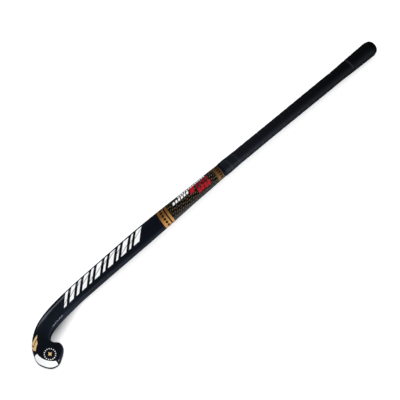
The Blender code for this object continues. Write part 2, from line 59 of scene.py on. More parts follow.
FARTHEST = 100


def direction(azimuth, elevation):
    """Unit vector from the object towards a compass angle from -Y towards +X, and a height angle."""
    level = math.cos(elevation)
    return Vector((math.sin(azimuth) * level, -math.cos(azimuth) * level, math.sin(elevation)))


camera_data = bpy.data.cameras.new("picture_camera")
camera_data.lens = LENS
camera_data.sensor_width = SENSOR
camera = bpy.data.objects.new("picture_camera", camera_data)
towards_camera = direction(VIEW_AZIMUTH, VIEW_ELEVATION)
camera.location = AIM + towards_camera * (METRES_PER_PIXEL * PICTURE_PIXELS * LENS / SENSOR)
camera.rotation_mode = "QUATERNION"
camera.rotation_quaternion = (-towards_camera).to_track_quat("-Z", "Y")
camera_data.clip_start = NEAREST
camera_data.clip_end = FARTHEST
bpy.context.scene.collection.objects.link(camera)
bpy.context.scene.camera = camera
bpy.context.scene.view_settings.view_transform = "Standard"


# The studio is a white floor sheet in an evenly lit tent, with one weak sun on the heel side. The
# sheet glows for the camera and carries a painted shadow in the crook. The lacquer mirrors a dim bluish
# room instead, where the sheet fades to the heel side, in the crook and towards the butt. Three panels
# light its edges.
FLOOR_HALF = 100
FLOOR_DROP = 0.0002
FLOOR_WHITE = (0.95, 0.95, 0.95, 1)
FLOOR_GLOW = 0.42
SHADE_AT = (-0.3935, 0.0100, 0.0)
SHADE_TURN = math.radians(18)
SHADE_REACH = (0.092, 0.0275, 1.0)
SHADE_COLOUR = (0.44, 0.45, 0.45, 1)
TENT_WHITE = (1, 1, 1, 1)
TENT_LIGHT = 0.92
BACKDROP_LIGHT = 1.0
MIRRORED_HUE = (0.84, 0.94, 1.22, 1)
MIRRORED_TENT = 0.03
MIRRORED_FLOOR = (0.03, 0.27)
HEEL_FADES = (0.050, -0.020)
CROOK_AT = (-0.410, -0.005, 0.0)
CROOK_FADES = (0.010, 0.050)
BUTT_FADES = (0.05, 0.45)
BUTT_SHARE = 0.35
SUN_FROM = (195, 60)
SUN_DISTANCE = 4.0
SUN_SPREAD = math.radians(50)
SUN_STRENGTH = 0.40
PANELS = (
    ("heel_panel", 174, 17, 25, 1.6, 0.33, 1.40, 2.9),
    ("neck_panel", 29.5, 5, 0, 12.0, 2.4, 0.5, 125.0),
    ("toe_side_panel", 2, 3, 0, 1.5, 0.60, 0.15, 9.0),
)
PANEL_AIM = Vector((-0.42, 0.0, 0.02))
PANEL_HUE = (0.90, 0.97, 1.12)


class Wire:
    """A value in a finish's node tree; sums written on it in Python add Math nodes to the tree."""

    def __init__(self, tree, socket=None):
        self.tree = tree
        self.socket = socket

    def node(self, kind, settings, sockets, out=0):
        """Adds a node: its settings first, then a value or a wire on each socket, by name or place."""
        made = self.tree.nodes.new("ShaderNode" + kind)
        for name, setting in settings.items():
            setattr(made, name, setting)
        for name, value in sockets.items():
            if isinstance(value, Wire):
                self.tree.links.new(value.socket, made.inputs[name])
            else:
                made.inputs[name].default_value = value
        return Wire(self.tree, made.outputs[out]) if made.outputs else None

    def maths(self, operation, *values):
        """Math node on the values, which are numbers or wires."""
        return self.node("Math", {"operation": operation}, dict(enumerate(values)))

    def __add__(self, other):
        return self.maths("ADD", self, other)

    def __radd__(self, other):
        return self.maths("ADD", other, self)

    def __sub__(self, other):
        return self.maths("SUBTRACT", self, other)

    def __rsub__(self, other):
        return self.maths("SUBTRACT", other, self)

    def __mul__(self, other):
        return self.maths("MULTIPLY", self, other)

    def __rmul__(self, other):
        return self.maths("MULTIPLY", other, self)

    def __mod__(self, other):
        return self.maths("FLOORED_MODULO", self, other)

    def __pow__(self, power):
        return self.maths("POWER", self, power)

    def __neg__(self):
        return 0 - self

    def __abs__(self):
        return self.maths("ABSOLUTE", self)

    def sine(self):
        """Sine of the value."""
        return self.maths("SINE", self)

    def root(self):
        """Square root of the value."""
        return self.maths("SQRT", self)


def new_finish(name):
    """Empty material, and the wire that its nodes start from."""
    made = bpy.data.materials.new(name)
    made.use_nodes = True
    made.node_tree.nodes.clear()
    return made, Wire(made.node_tree)


def split(vector):
    """The three numbers of a vector, as wires."""
    return [vector.node("SeparateXYZ", {}, {0: vector}, axis) for axis in "XYZ"]


def blend(mask, below, above):
    """Colour above where the mask is 1, and colour below where it is 0."""
    settings = {"data_type": "RGBA", "clamp_factor": True}
    return mask.node("Mix", settings, {0: mask, 6: below, 7: above}, 2)


def fade(value, start_at, end_at, low=0.0, high=1.0):
    """Changes evenly from low to high between two places, and stays level beyond them."""
    ends = {"From Min": start_at, "From Max": end_at, "To Min": low, "To Max": high}
    return value.node("MapRange", {}, {"Value": value, **ends})


def by_ray(lit, seen, mirrored):
    """Shader for what the camera and clear glass see, one for what mirrors see, and one for the rest."""
    kinds = ("Camera", "Transmission", "Glossy")
    camera_ray, glass_ray, glossy_ray = (lit.node("LightPath", {}, {}, f"Is {kind} Ray") for kind in kinds)
    straight_ray = lit.maths("MAXIMUM", camera_ray, glass_ray)
    shader = lit.node("MixShader", {}, {0: straight_ray, 1: lit, 2: seen})
    return lit.node("MixShader", {}, {0: glossy_ray, 1: shader, 2: mirrored})


floor_finish, start = new_finish("white_floor_sheet")
spot = start.node("NewGeometry", {}, {}, "Position")
x_m, y_m, _ = split(spot)
# painted shadow: inside a turned ellipse in the crook the sheet is darker and stops glowing
in_shade = start.node("Mapping", {"vector_type": "TEXTURE"}, {
    "Vector": spot, "Location": SHADE_AT, "Rotation": (0, 0, SHADE_TURN), "Scale": SHADE_REACH})
unshaded = fade(start.node("VectorMath", {"operation": "LENGTH"}, {0: in_shade}, "Value"), 0.0, 1.0)
from_crook = start.node("VectorMath", {"operation": "DISTANCE"}, {0: spot, 1: CROOK_AT}, "Value")
mirrored_light = fade(y_m, *HEEL_FADES, *MIRRORED_FLOOR) * fade(from_crook, *CROOK_FADES)
mirrored_light = mirrored_light * fade(x_m, *BUTT_FADES, 1.0, BUTT_SHARE)
sheet = start.node("BsdfDiffuse", {}, {"Color": blend(unshaded, SHADE_COLOUR, FLOOR_WHITE)})
glow = start.node("Emission", {}, {"Strength": unshaded * FLOOR_GLOW})
glowing = start.node("AddShader", {}, {0: sheet, 1: glow})
dim = start.node("Emission", {}, {"Color": MIRRORED_HUE, "Strength": mirrored_light})
from_below = start.node("NewGeometry", {}, {}, "Backfacing")
clear = start.node("BsdfTransparent", {}, {})
both_sides = start.node("MixShader", {}, {0: from_below, 1: by_ray(sheet, glowing, dim), 2: clear})
start.node("OutputMaterial", {}, {"Surface": both_sides})

floor_mesh = bpy.data.meshes.new("floor")
corners = [(x * FLOOR_HALF, y * FLOOR_HALF, -FLOOR_DROP) for x, y in ((-1, -1), (1, -1), (1, 1), (-1, 1))]
floor_mesh.from_pydata(corners, [], [(0, 1, 2, 3)])
floor_mesh.materials.append(floor_finish)
floor = bpy.data.objects.new("floor", floor_mesh)
bpy.context.scene.collection.objects.link(floor)

world = bpy.data.worlds.new("studio")
bpy.context.scene.world = world
world.use_nodes = True
world.node_tree.nodes.clear()
room = Wire(world.node_tree)
tent = room.node("Background", {}, {"Color": TENT_WHITE, "Strength": TENT_LIGHT})
backdrop = room.node("Background", {}, {"Color": TENT_WHITE, "Strength": BACKDROP_LIGHT})
dark_room = room.node("Background", {}, {"Color": MIRRORED_HUE, "Strength": MIRRORED_TENT})
room.node("OutputWorld", {}, {"Surface": by_ray(tent, backdrop, dark_room)})


def hang_lamp(name, kind, azimuth, elevation, roll, distance, target):
    """Lamp hung in a direction from its target, facing it and rolled."""
    lamp = bpy.data.objects.new(name, bpy.data.lights.new(name, kind))
    away = direction(math.radians(azimuth), math.radians(elevation))
    lamp.location = target + away * distance
    lamp.rotation_mode = "QUATERNION"
    lamp.rotation_quaternion = away.to_track_quat("Z", "Y") @ Quaternion((0, 0, 1), math.radians(roll))
    lamp.visible_camera = False
    bpy.context.scene.collection.objects.link(lamp)
    return lamp


sun = hang_lamp("heel_side_light", "SUN", *SUN_FROM, 0, SUN_DISTANCE, Vector())
sun.visible_glossy = False
sun.data.angle = SUN_SPREAD
sun.data.energy = SUN_STRENGTH
for name, azimuth, elevation, roll, distance, width, tall, power in PANELS:
    panel = hang_lamp(name, "AREA", azimuth, elevation, roll, distance, PANEL_AIM).data
    panel.shape = "RECTANGLE"
    panel.size = width
    panel.size_y = tall
    panel.energy = power
    panel.color = PANEL_HUE


# The laminate shell is the stick itself: glass and carbon cloth in resin, moulded hollow over two
# inner tubes in the shaft and a foam core in the head, then sprayed, printed and lacquered. It is a
# millimetre fuller than its solid at and below the tape and along the crook.
STICK_LENGTH = 0.9525
HANDLE_WIDTH = 0.0234
HANDLE_THICKNESS = 0.0232
SHAFT_WIDTH = 0.0392
SHAFT_THICKNESS = 0.0245
NECK_WIDTH = 0.0375
NECK_THICKNESS = 0.0250
HANDLE_LENGTH = 0.3405
WIDEST_AT = 0.320
NECK_AT = 0.170
HEAD_REACH = 0.0878
TOE_HEIGHT = 0.0615
HEAD_THICKNESS = 0.0265
TOE_THICKNESS = 0.0240
TOE_ROUNDING = 0.024
FACE_CORNERS = (0.0095, 0.0095, 0.0065, 0.0050, 0.0050, 0.0050)
EDGE_HEIGHTS = (HANDLE_THICKNESS / 2, HANDLE_THICKNESS / 2, 0.0085, 0.0070, 0.0070, 0.0070)
SQUARENESS = (2.0, 2.0, 2.3, 2.5, 2.5, 2.5)
SMALLEST_CORNER = 0.0008
CORNER_SHARE = 0.92
BOW_DEPTH = 0.0148
BOW_STARTS_AT = 0.105
BOW_DEEPEST_AT = 0.400
BOW_HEAD_EASE = 1.4
BOW_HANDLE_EASE = 1.6
BUTT_LIFT = 0.00401
SHELL_TOP = 0.9392
SHELL_WALL = 0.0018
HANDLE_FOOT = STICK_LENGTH - HANDLE_LENGTH
HEEL_CURVE = (
    (1.951, 0.018), (1.301, 0.067), (0.829, 0.150), (0.463, 0.277),
    (0.198, 0.433), (0.060, 0.587), (0.000, 0.717), (0.068, 0.850), (0.205, 0.955),
)
CROOK_CURVE = (
    (1.951, 0.015), (1.382, 0.067), (1.073, 0.134), (0.878, 0.228),
    (0.813, 0.337), (0.878, 0.435), (0.984, 0.518), (0.989, 0.655), (0.732, 0.891),
)
TOE_TIP = (0.450, 1.000)
BACK_FACETS = 72
CORNER_FACETS = 16
FACE_FACETS = 6
TIP_LENGTH = 0.030
TIP_ROWS = 40
ROW_STEPS = ((0.0, 0.38, 0.012), (0.38, 0.77, 0.005), (0.77, 0.974, 0.0014))
WALL_ROW_SKIP = 3
SWELL = 0.0013
SWELL_HEIGHTS = (0.4350, 0.5150, 0.5510, 0.5525)
CROOK_SWELL = 0.0012
CROOK_SWELL_RUNS = (0.790, 0.845, 0.925, 0.960)
FIRST_ROW_GAP = 0.001
NEAR_TIP = 0.0014
NO_WIDTH = 1e-5
EDGE_CHECKS = 4000
RUN_CHECKS = 400


def ease(x):
    """Smooth step from 0 to 1, level at both ends: 3x^2 - 2x^3."""
    x = np.clip(x, 0, 1)
    return x * x * (3 - 2 * x)


def eased_between(at, places, values):
    """Value at each place, eased from one place's value to the next one's."""
    result = np.full(np.shape(at), float(values[0]))
    for start_at, end_at, low, high in zip(places, places[1:], values, values[1:]):
        result = result + (high - low) * ease((at - start_at) / (end_at - start_at))
    return result


def shaft_half_width(height):
    """Half width of the straight shaft: slim handle, widest below it, a little less at the neck."""
    widths = (NECK_WIDTH / 2, SHAFT_WIDTH / 2, HANDLE_WIDTH / 2)
    return eased_between(height, (NECK_AT, WIDEST_AT, HANDLE_FOOT), widths)


def bow_lift(height):
    """Height of the playing face over the ground: 0 at the head, most in the shaft, low at the butt."""
    rise_share = np.clip((height - BOW_STARTS_AT) / (BOW_DEEPEST_AT - BOW_STARTS_AT), 0, 1)
    fall_share = np.clip((height - BOW_DEEPEST_AT) / (STICK_LENGTH - BOW_DEEPEST_AT), 0, 1)
    head_part = BOW_DEPTH * (1 - (1 - rise_share) ** 2) ** BOW_HEAD_EASE
    butt_part = BUTT_LIFT + (BOW_DEPTH - BUTT_LIFT) * (1 - fall_share**2) ** BOW_HANDLE_EASE
    return np.where(height < BOW_DEEPEST_AT, head_part, butt_part)


def natural_spline(knots, points):
    """Second derivatives of the natural cubic through the points, from its tridiagonal system."""
    gap = np.diff(knots)
    slopes = np.diff(points, axis=0) / gap[:, None]
    inner = np.arange(1, len(knots) - 1)
    matrix = np.eye(len(knots))
    matrix[inner, inner - 1] = gap[:-1]
    matrix[inner, inner] = 2 * (gap[:-1] + gap[1:])
    matrix[inner, inner + 1] = gap[1:]
    right = np.zeros_like(points)
    right[1:-1] = 6 * np.diff(slopes, axis=0)
    return np.linalg.solve(matrix, right)


def head_edge(curve, side):
    """One edge of the head from the neck to the toe as (height, sideways); side is +1 at the heel."""
    from_axis = side * NECK_WIDTH / 2
    return [(h * TOE_HEIGHT, from_axis - (HEAD_REACH + from_axis) * bend) for h, bend in curve]


shaft_middle = (WIDEST_AT + HANDLE_FOOT) / 2
shaft_keys = np.array([
    STICK_LENGTH, (STICK_LENGTH + HANDLE_FOOT) / 2, HANDLE_FOOT, (HANDLE_FOOT + shaft_middle) / 2,
    shaft_middle, (WIDEST_AT + shaft_middle) / 2, WIDEST_AT, (WIDEST_AT + NECK_AT) / 2, NECK_AT,
])
half_widths = shaft_half_width(shaft_keys)
heel_keys = list(zip(shaft_keys, half_widths)) + head_edge(HEEL_CURVE, 1)
crook_keys = list(zip(shaft_keys, -half_widths)) + head_edge(CROOK_CURVE, -1)
toe_tip = (TOE_TIP[0] * TOE_HEIGHT, -HEAD_REACH * TOE_TIP[1])
EDGE_POINTS = np.array(heel_keys + [toe_tip] + crook_keys[::-1])
EDGE_KNOTS = np.append(0, np.cumsum(np.linalg.norm(np.diff(EDGE_POINTS, axis=0), axis=1)))
EDGE_BENDS = natural_spline(EDGE_KNOTS, EDGE_POINTS)
HEEL_KNOTS = EDGE_KNOTS[:len(heel_keys) + 1]
CROOK_KNOTS = EDGE_KNOTS[len(heel_keys):][::-1]
RUN_KNOTS = (HEEL_KNOTS + CROOK_KNOTS[0] - CROOK_KNOTS) / 2
RUN_END = RUN_KNOTS[-1]


def edge_spline(at):
    """Points and unit directions of the natural cubic that goes down the heel side and back up."""
    i = np.clip(np.searchsorted(EDGE_KNOTS, at, side="right") - 1, 0, len(EDGE_KNOTS) - 2)
    gap = (EDGE_KNOTS[i + 1] - EDGE_KNOTS[i])[:, None]
    b = (at - EDGE_KNOTS[i])[:, None] / gap
    a = 1 - b
    bend = ((a**3 - a) * EDGE_BENDS[i] + (b**3 - b) * EDGE_BENDS[i + 1]) * gap**2 / 6
    turn = ((3 * b**2 - 1) * EDGE_BENDS[i + 1] - (3 * a**2 - 1) * EDGE_BENDS[i]) * gap / 6
    way = (EDGE_POINTS[i + 1] - EDGE_POINTS[i]) / gap + turn
    points = a * EDGE_POINTS[i] + b * EDGE_POINTS[i + 1] + bend
    return points, way / np.linalg.norm(way, axis=1, keepdims=True)


def edges(run, inset=0.0, crook_swell=0.0):
    """Heel-side and crook-side points at each run, moved in by the inset, the crook side out again."""
    sides = []
    for knots, moved in ((HEEL_KNOTS, inset), (CROOK_KNOTS, inset - crook_swell)):
        points, way = edge_spline(np.interp(run, RUN_KNOTS, knots))
        moved = np.broadcast_to(moved, np.shape(run))[:, None]
        sides.append(points + np.stack([-way[:, 1], way[:, 0]], axis=1) * moved)
    return sides


EDGE_SAMPLES = edge_spline(np.linspace(0, EDGE_KNOTS[-1], EDGE_CHECKS))[0]
CENTRE_HEIGHT = (EDGE_SAMPLES[:, 0].min() + STICK_LENGTH) / 2
CENTRE_SIDE = (EDGE_SAMPLES[:, 1].min() + EDGE_SAMPLES[:, 1].max()) / 2
FINE_RUN = np.linspace(0, RUN_KNOTS[len(shaft_keys) + 2], RUN_CHECKS)
FINE_HEIGHT = np.mean(edges(FINE_RUN), axis=0)[:, 0]


def run_at(height):
    """Run at a height on the straight shaft or neck."""
    return np.interp(-np.asarray(height, float), -FINE_HEIGHT, FINE_RUN)


NAMED_RUNS = [0.0, run_at(HANDLE_FOOT), run_at(WIDEST_AT), run_at(NECK_AT)]
NAMED_RUNS += [(NAMED_RUNS[-1] + RUN_END) / 2, RUN_END]


def section(run, inset=0.0, crook_swell=0.0):
    """Sizes of the stick's section at each run: half width, edge height, corner, the back's power, top
    and bottom. Near the toe's tip the top and the face draw together on quarter circles."""
    inset = np.broadcast_to(inset, np.shape(run)).astype(float)
    heel, crook = edges(run, inset, crook_swell)
    middle = (heel + crook) / 2
    across = heel - crook
    half = np.linalg.norm(across, axis=1) / 2
    tip_heel, tip_crook = edges(np.full(len(run), RUN_END), inset)
    from_tip = np.linalg.norm(middle - (tip_heel + tip_crook) / 2, axis=1)
    last = edges(np.array([RUN_END - NEAR_TIP]))
    across = np.where((half > NO_WIDTH)[:, None], across, last[0][0] - last[1][0])
    across = across / np.linalg.norm(across, axis=1, keepdims=True)
    thicknesses = (HANDLE_THICKNESS, HANDLE_THICKNESS, SHAFT_THICKNESS, NECK_THICKNESS)
    thick = eased_between(run, NAMED_RUNS, thicknesses + (HEAD_THICKNESS, TOE_THICKNESS))
    corner = np.maximum(eased_between(run, NAMED_RUNS, FACE_CORNERS) - inset, SMALLEST_CORNER)
    edge = eased_between(run, NAMED_RUNS, EDGE_HEIGHTS)
    back_round = 1 - np.clip(from_tip / (TOE_ROUNDING - inset), 0, 1)
    face_round = 1 - np.clip(from_tip / corner, 0, 1)
    return {
        "middle": middle,
        "across": across,
        "half": half,
        "edge": edge,
        "corner": np.minimum(corner, CORNER_SHARE * half),
        "power": 2 / eased_between(run, NAMED_RUNS, SQUARENESS),
        "top": edge + (thick - inset - edge) * np.sqrt(1 - back_round**2),
        "bottom": edge - (edge - inset) * np.sqrt(1 - face_round**2),
    }


def whole_section(s, back=BACK_FACETS, corner=CORNER_FACETS, face=FACE_FACETS):
    """Sideways and upwards points right round: the back is a superellipse from the heel side to the
    toe side, and the face is flat between two quarter ellipses."""
    half, low, high, bottom = (s[key][:, None] for key in ("half", "edge", "top", "bottom"))
    angle = np.linspace(0, np.pi, back + 1)
    power = s["power"][:, None]
    side = half * np.sign(np.cos(angle)) * np.abs(np.cos(angle)) ** power
    up = low + (high - low) * np.sin(angle) ** power
    down = np.linspace(0, np.pi / 2, corner + 1)
    arc = half - s["corner"][:, None] * (1 - np.cos(down))
    drop = low - (low - bottom) * np.sin(down)
    flat = np.linspace(-1, 1, face + 1)[1:] * (half - s["corner"][:, None])
    sideways = np.hstack([side, -arc[:, 1:], flat, arc[:, -2:0:-1]])
    upwards = np.hstack([up, drop[:, 1:], np.repeat(bottom, face, axis=1), drop[:, -2:0:-1]])
    return sideways, upwards


def place(s, sideways, upwards):
    """World points of section points, with the bow added and the origin under the stick's middle."""
    flat = s["middle"][:, None, :] + s["across"][:, None, :] * sideways[..., None]
    height, side = flat[..., 0], flat[..., 1]
    return np.stack([height - CENTRE_HEIGHT, side - CENTRE_SIDE, upwards + bow_lift(height)], axis=-1)


def grid_quads(rows, around, first=0):
    """Corner numbers of the four-sided faces between neighbouring rings of points."""
    row = np.arange(rows - 1)[:, None] * around
    column = np.arange(around)[None, :]
    after = (column + 1) % around
    quads = np.stack([row + column, row + after, row + around + after, row + around + column], axis=-1)
    return quads.reshape(-1, 4) + first


def fan(ring, hub):
    """Corner numbers of the triangles from a closed ring of points to its hub."""
    return np.stack([ring, np.roll(ring, -1), np.full_like(ring, hub)], axis=-1)


SHARP_EDGE = math.radians(40)


def make_piece(name, points, quads, triangles, finish, slot, *replaced):
    """Piece of the object from points and faces, smooth but for its sharp edges, on the one body."""
    mesh = bpy.data.meshes.new(name)
    mesh.from_pydata(points.tolist(), [], quads.tolist() + triangles.tolist())
    mesh.shade_smooth()
    mesh.set_sharp_from_angle(angle=SHARP_EDGE)
    mesh.materials.append(finish)
    piece = bpy.data.objects.new(name, mesh)
    bpy.context.scene.collection.objects.link(piece)
    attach(piece, "root")
    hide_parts(*replaced)
    return piece


def set_map(piece, name, corner_places):
    """UV map of a piece from the place of each face corner, in the order of its faces."""
    layer = piece.data.uv_layers.new(name=name)
    layer.uv.foreach_set("vector", corner_places.astype(np.float32).ravel())


shell_runs = [np.arange(low, high, step) for low, high, step in ROW_STEPS]
shell_runs[0] = shell_runs[0][shell_runs[0] > run_at(SHELL_TOP) + FIRST_ROW_GAP]
tip_runs = RUN_END - TIP_LENGTH * np.linspace(1, 0, TIP_ROWS) ** 2
shell_runs = np.concatenate([[run_at(SHELL_TOP)], *shell_runs, tip_runs])
shell_heights = np.mean(edges(shell_runs), axis=0)[:, 0]
swell = eased_between(shell_heights, SWELL_HEIGHTS, (0.0, SWELL, SWELL, 0.0))
crook_swell = eased_between(shell_runs, CROOK_SWELL_RUNS, (0.0, CROOK_SWELL, CROOK_SWELL, 0.0))
shell_sizes = section(shell_runs, -swell, crook_swell)
outer = place(shell_sizes, *whole_section(shell_sizes))
wall_runs = np.append(shell_runs[:-1:WALL_ROW_SKIP], RUN_END)
wall_sizes = section(wall_runs, SHELL_WALL)
inner = place(wall_sizes, *whole_section(wall_sizes))

rows, around, _ = outer.shape
wall_rows = len(inner)
outer_count = (rows - 1) * around
inner_count = (wall_rows - 1) * around
outer_hub = outer_count + inner_count
shell_points = np.vstack([
    outer[:-1].reshape(-1, 3), inner[:-1].reshape(-1, 3),
    outer[-1].mean(axis=0), inner[-1].mean(axis=0),
])
ring = np.arange(around)
outer_quads = grid_quads(rows - 1, around)
inner_quads = grid_quads(wall_rows - 1, around, outer_count)[:, ::-1]
next_ring = np.roll(ring, -1)
rim_quads = np.stack([ring, outer_count + ring, outer_count + next_ring, next_ring], axis=-1)
outer_tip = fan(outer_count - around + ring, outer_hub)
inner_tip = fan(outer_hub - around + ring, outer_hub + 1)[:, ::-1]

# run and girth at each face corner; the seam of the girth runs along the middle of the face
girth_steps = np.linalg.norm(np.roll(outer, -1, axis=1) - outer, axis=2)
girth_to = np.hstack([np.zeros((rows, 1)), np.cumsum(girth_steps, axis=1)])
girth = girth_to[:, BACK_FACETS // 2, None] - girth_to
past_seam = ring >= BACK_FACETS + CORNER_FACETS + FACE_FACETS // 2
wrap = (past_seam * girth_to[:, -1:])[:-1]
here = girth[:-1, :-1] + wrap
after = girth[:-1, 1:] + wrap
run_grid = np.repeat(shell_runs[:-1, None], around, axis=1)
outer_map = np.stack([
    run_grid[:-1], here[:-1], run_grid[:-1], after[:-1],
    run_grid[1:], after[1:], run_grid[1:], here[1:],
], axis=-1).reshape(-1, 2)
tip_map = np.stack([
    run_grid[-1], girth[-2, :-1], run_grid[-1], girth[-2, 1:], np.full(around, RUN_END), np.zeros(around),
], axis=-1).reshape(-1, 2)
unprinted = np.array([[0.0, 0.0], [0.001, 0.0], [0.001, 0.001], [0.0, 0.001]])
inside_map = np.tile(unprinted, (len(inner_quads) + len(rim_quads), 1))
inner_tip_map = np.tile(unprinted[:3], (around, 1))
RUN_AND_GIRTH = np.vstack([outer_map, inside_map, tip_map, inner_tip_map])

# the same faces laid out from 0 to 1 for baking: three strips of the outside, with the part under
# the grip drawn smaller, then one narrow strip of the inside and the rim along the left
STRIP_STARTS = np.array([0.0, 0.40, 0.70])
STRIP_SCALES = np.array([2.0, 3.1, 3.1])
STRIP_GAP = 0.004
STRIP_LEFT = 0.010
TIP_STEP = 0.001
INSIDE_TALL = 0.025
INSIDE_LONG = 0.97
INSIDE_TIP_STEP = 0.004
RIM_SIDES = (0.001, 0.006)
RIM_TALL = 0.9
strip = np.searchsorted(STRIP_STARTS, np.repeat(shell_runs[:-2], 4 * around), side="right") - 1
tallest = np.array([np.abs(outer_map[strip == number, 1]).max() for number in range(len(STRIP_STARTS))])
strip_tops = np.cumsum(2 * tallest * STRIP_SCALES + STRIP_GAP)
strip_foots = strip_tops - 2 * tallest * STRIP_SCALES


def in_strip(run_and_girth, number):
    """Place from 0 to 1 of runs and girths in the strips of the outside."""
    u = STRIP_LEFT + (run_and_girth[:, 0] - STRIP_STARTS[number]) * STRIP_SCALES[number]
    v = strip_foots[number] + (run_and_girth[:, 1] + tallest[number]) * STRIP_SCALES[number]
    return np.stack([u, v], axis=-1)


baked_tip = tip_map.reshape(-1, 3, 2).copy()
baked_tip[:, 2, 0] += TIP_STEP
baked_tip[:, 2, 1] = baked_tip[:, :2, 1].mean(axis=1)
inside_u = STRIP_LEFT + wall_runs / RUN_END * INSIDE_LONG
inside_v = strip_tops[-1] + STRIP_GAP + np.arange(around + 1) / around * INSIDE_TALL
ahead, behind = inside_u[1:-1, None], inside_u[:-2, None]
this, following = inside_v[None, :-1], inside_v[None, 1:]
wall_corners = (ahead, this, ahead, following, behind, following, behind, this)
baked_wall = np.stack(np.broadcast_arrays(*wall_corners), axis=-1)
rim_low = ring / around * RIM_TALL
rim_high = (ring + 1) / around * RIM_TALL
near, far = (np.full(around, side) for side in RIM_SIDES)
baked_rim = np.stack([near, rim_low, far, rim_low, far, rim_high, near, rim_high], axis=-1)
last_u = np.full(around, inside_u[-2])
hub_u = last_u + INSIDE_TIP_STEP
hub_v = (inside_v[:-1] + inside_v[1:]) / 2
baked_wall_tip = np.stack([hub_u, hub_v, last_u, inside_v[1:], last_u, inside_v[:-1]], axis=-1)
BAKE_MAP = np.vstack([
    in_strip(outer_map, strip), baked_wall.reshape(-1, 2), baked_rim.reshape(-1, 2),
    in_strip(baked_tip.reshape(-1, 2), 2), baked_wall_tip.reshape(-1, 2),
])


PRINT_EDGE = 0.25


def rise(value, at, soft=PRINT_EDGE):
    """0 below a place and 1 above it, with a soft edge."""
    ends = {"Value": value, "From Min": at - soft / 2, "From Max": at + soft / 2}
    return value.node("MapRange", {"interpolation_type": "SMOOTHSTEP"}, ends)


def stripe(value, low, high, soft=PRINT_EDGE):
    """1 between two places and 0 outside them, with soft edges."""
    return rise(value, low, soft) - rise(value, high, soft)


def noise(place_wire, scale, detail=2.0):
    """Cloudy noise from 0 to 1 on a place in metres."""
    return place_wire.node("TexNoise", {}, {"Vector": place_wire, "Scale": scale, "Detail": detail})


def bump(relief, strength, deep):
    """Normal of a relief that is so many metres deep."""
    return relief.node("Bump", {}, {"Strength": strength, "Distance": deep, "Height": relief})


def end_finish(start, sockets):
    """Ends a finish with one principled surface that has these sockets."""
    start.node("OutputMaterial", {}, {"Surface": start.node("BsdfPrincipled", {}, sockets)})


lacquer, start = new_finish("printed_black_lacquer")
spot = start.node("TexCoord", {}, {}, "Object")
along_m, round_m, _ = split(start.node("UVMap", {"uv_map": "run_and_girth"}, {}))
run_mm = along_m * 1000
girth_mm = round_m * 1000
x_m, y_m, z_m = split(spot)
across_mm = (y_m + CENTRE_SIDE) * 1000

# the upper gold band lies a little aslant; the lower pair curves up on both sides of its lowest line,
# 10 mm to the toe side of the back's middle
UPPER_SLANT = 0.057
LOWER_CURVE = 0.009
LOWER_MIDDLE = -10
LOWER_REACH = 30
upper = run_mm + across_mm * UPPER_SLANT
off_middle = abs(girth_mm - LOWER_MIDDLE)
off_middle = off_middle.maths("MINIMUM", off_middle, LOWER_REACH)
curved = run_mm + off_middle * off_middle * LOWER_CURVE

# plain length: near-black, clouded, and paler and bluer in soft clouds round the neck
BLACKS = ((0.0024, 0.0040, 0.0068, 1), (0.0034, 0.0054, 0.0088, 1))
PALER_NECK_BLACK = (0.0058, 0.0092, 0.0145, 1)
PALER_NECK_RUNS = (800, 908)
PALER_NECK_EDGE = 50
black = blend(noise(spot, 40), *BLACKS)
paler_neck = stripe(run_mm, *PALER_NECK_RUNS, PALER_NECK_EDGE) * rise(noise(spot, 25), 0.35, 0.3)
black = blend(paler_neck, black, PALER_NECK_BLACK)

# patterned length between the gold bands: fine beaded threads on near-black, wavy, leaning 13 degrees
PATTERN_TOP = 430.8
PATTERN_FOOT = 554
PATTERN_GROUND = (0.0040, 0.0020, 0.0012, 1)
THREAD_GOLD = (0.135, 0.088, 0.038, 1)
THREAD_OLIVE = (0.072, 0.076, 0.030, 1)
THREAD_GREY = (0.105, 0.090, 0.085, 1)
THREAD_PITCH = 4.8
THREAD_HALF = 0.85
THREAD_EDGE = 0.6
THREAD_LEAN = 0.23
THREAD_WANDER = 1.2
BETWEEN_BEADS = 0.08
TOE_SIDE_SHEEN = 0.20


def waves(along, across):
    """Sine waves over the lacquer, so many radians a millimetre along the run and round the girth."""
    return (run_mm * along + girth_mm * across).sine()


drift = girth_mm + run_mm * THREAD_LEAN + waves(0.45, 0.5) + noise(spot, 160) * THREAD_WANDER
thread = 1 - rise(abs(drift % THREAD_PITCH - THREAD_PITCH / 2), THREAD_HALF, THREAD_EDGE)
threads = thread * (BETWEEN_BEADS + (1 - BETWEEN_BEADS) * rise(waves(1.15, 0.8), 0.1, 1.0))
thread_colour = blend(rise(noise(spot, 160), 0.5, 0.12), THREAD_GOLD, THREAD_OLIVE)
thread_colour = blend(rise(noise(spot, 220), 0.55, 0.1), thread_colour, THREAD_GREY)
pattern = blend(threads, PATTERN_GROUND, thread_colour)
# painted sheen: the pattern is painted greyer towards the toe side
pattern = blend(rise(-across_mm, 14.0, 8.8) * TOE_SIDE_SHEEN, pattern, THREAD_GREY)
pattern_mask = rise(upper, PATTERN_TOP) * (1 - rise(curved, PATTERN_FOOT))
colour = blend(pattern_mask, black, pattern)

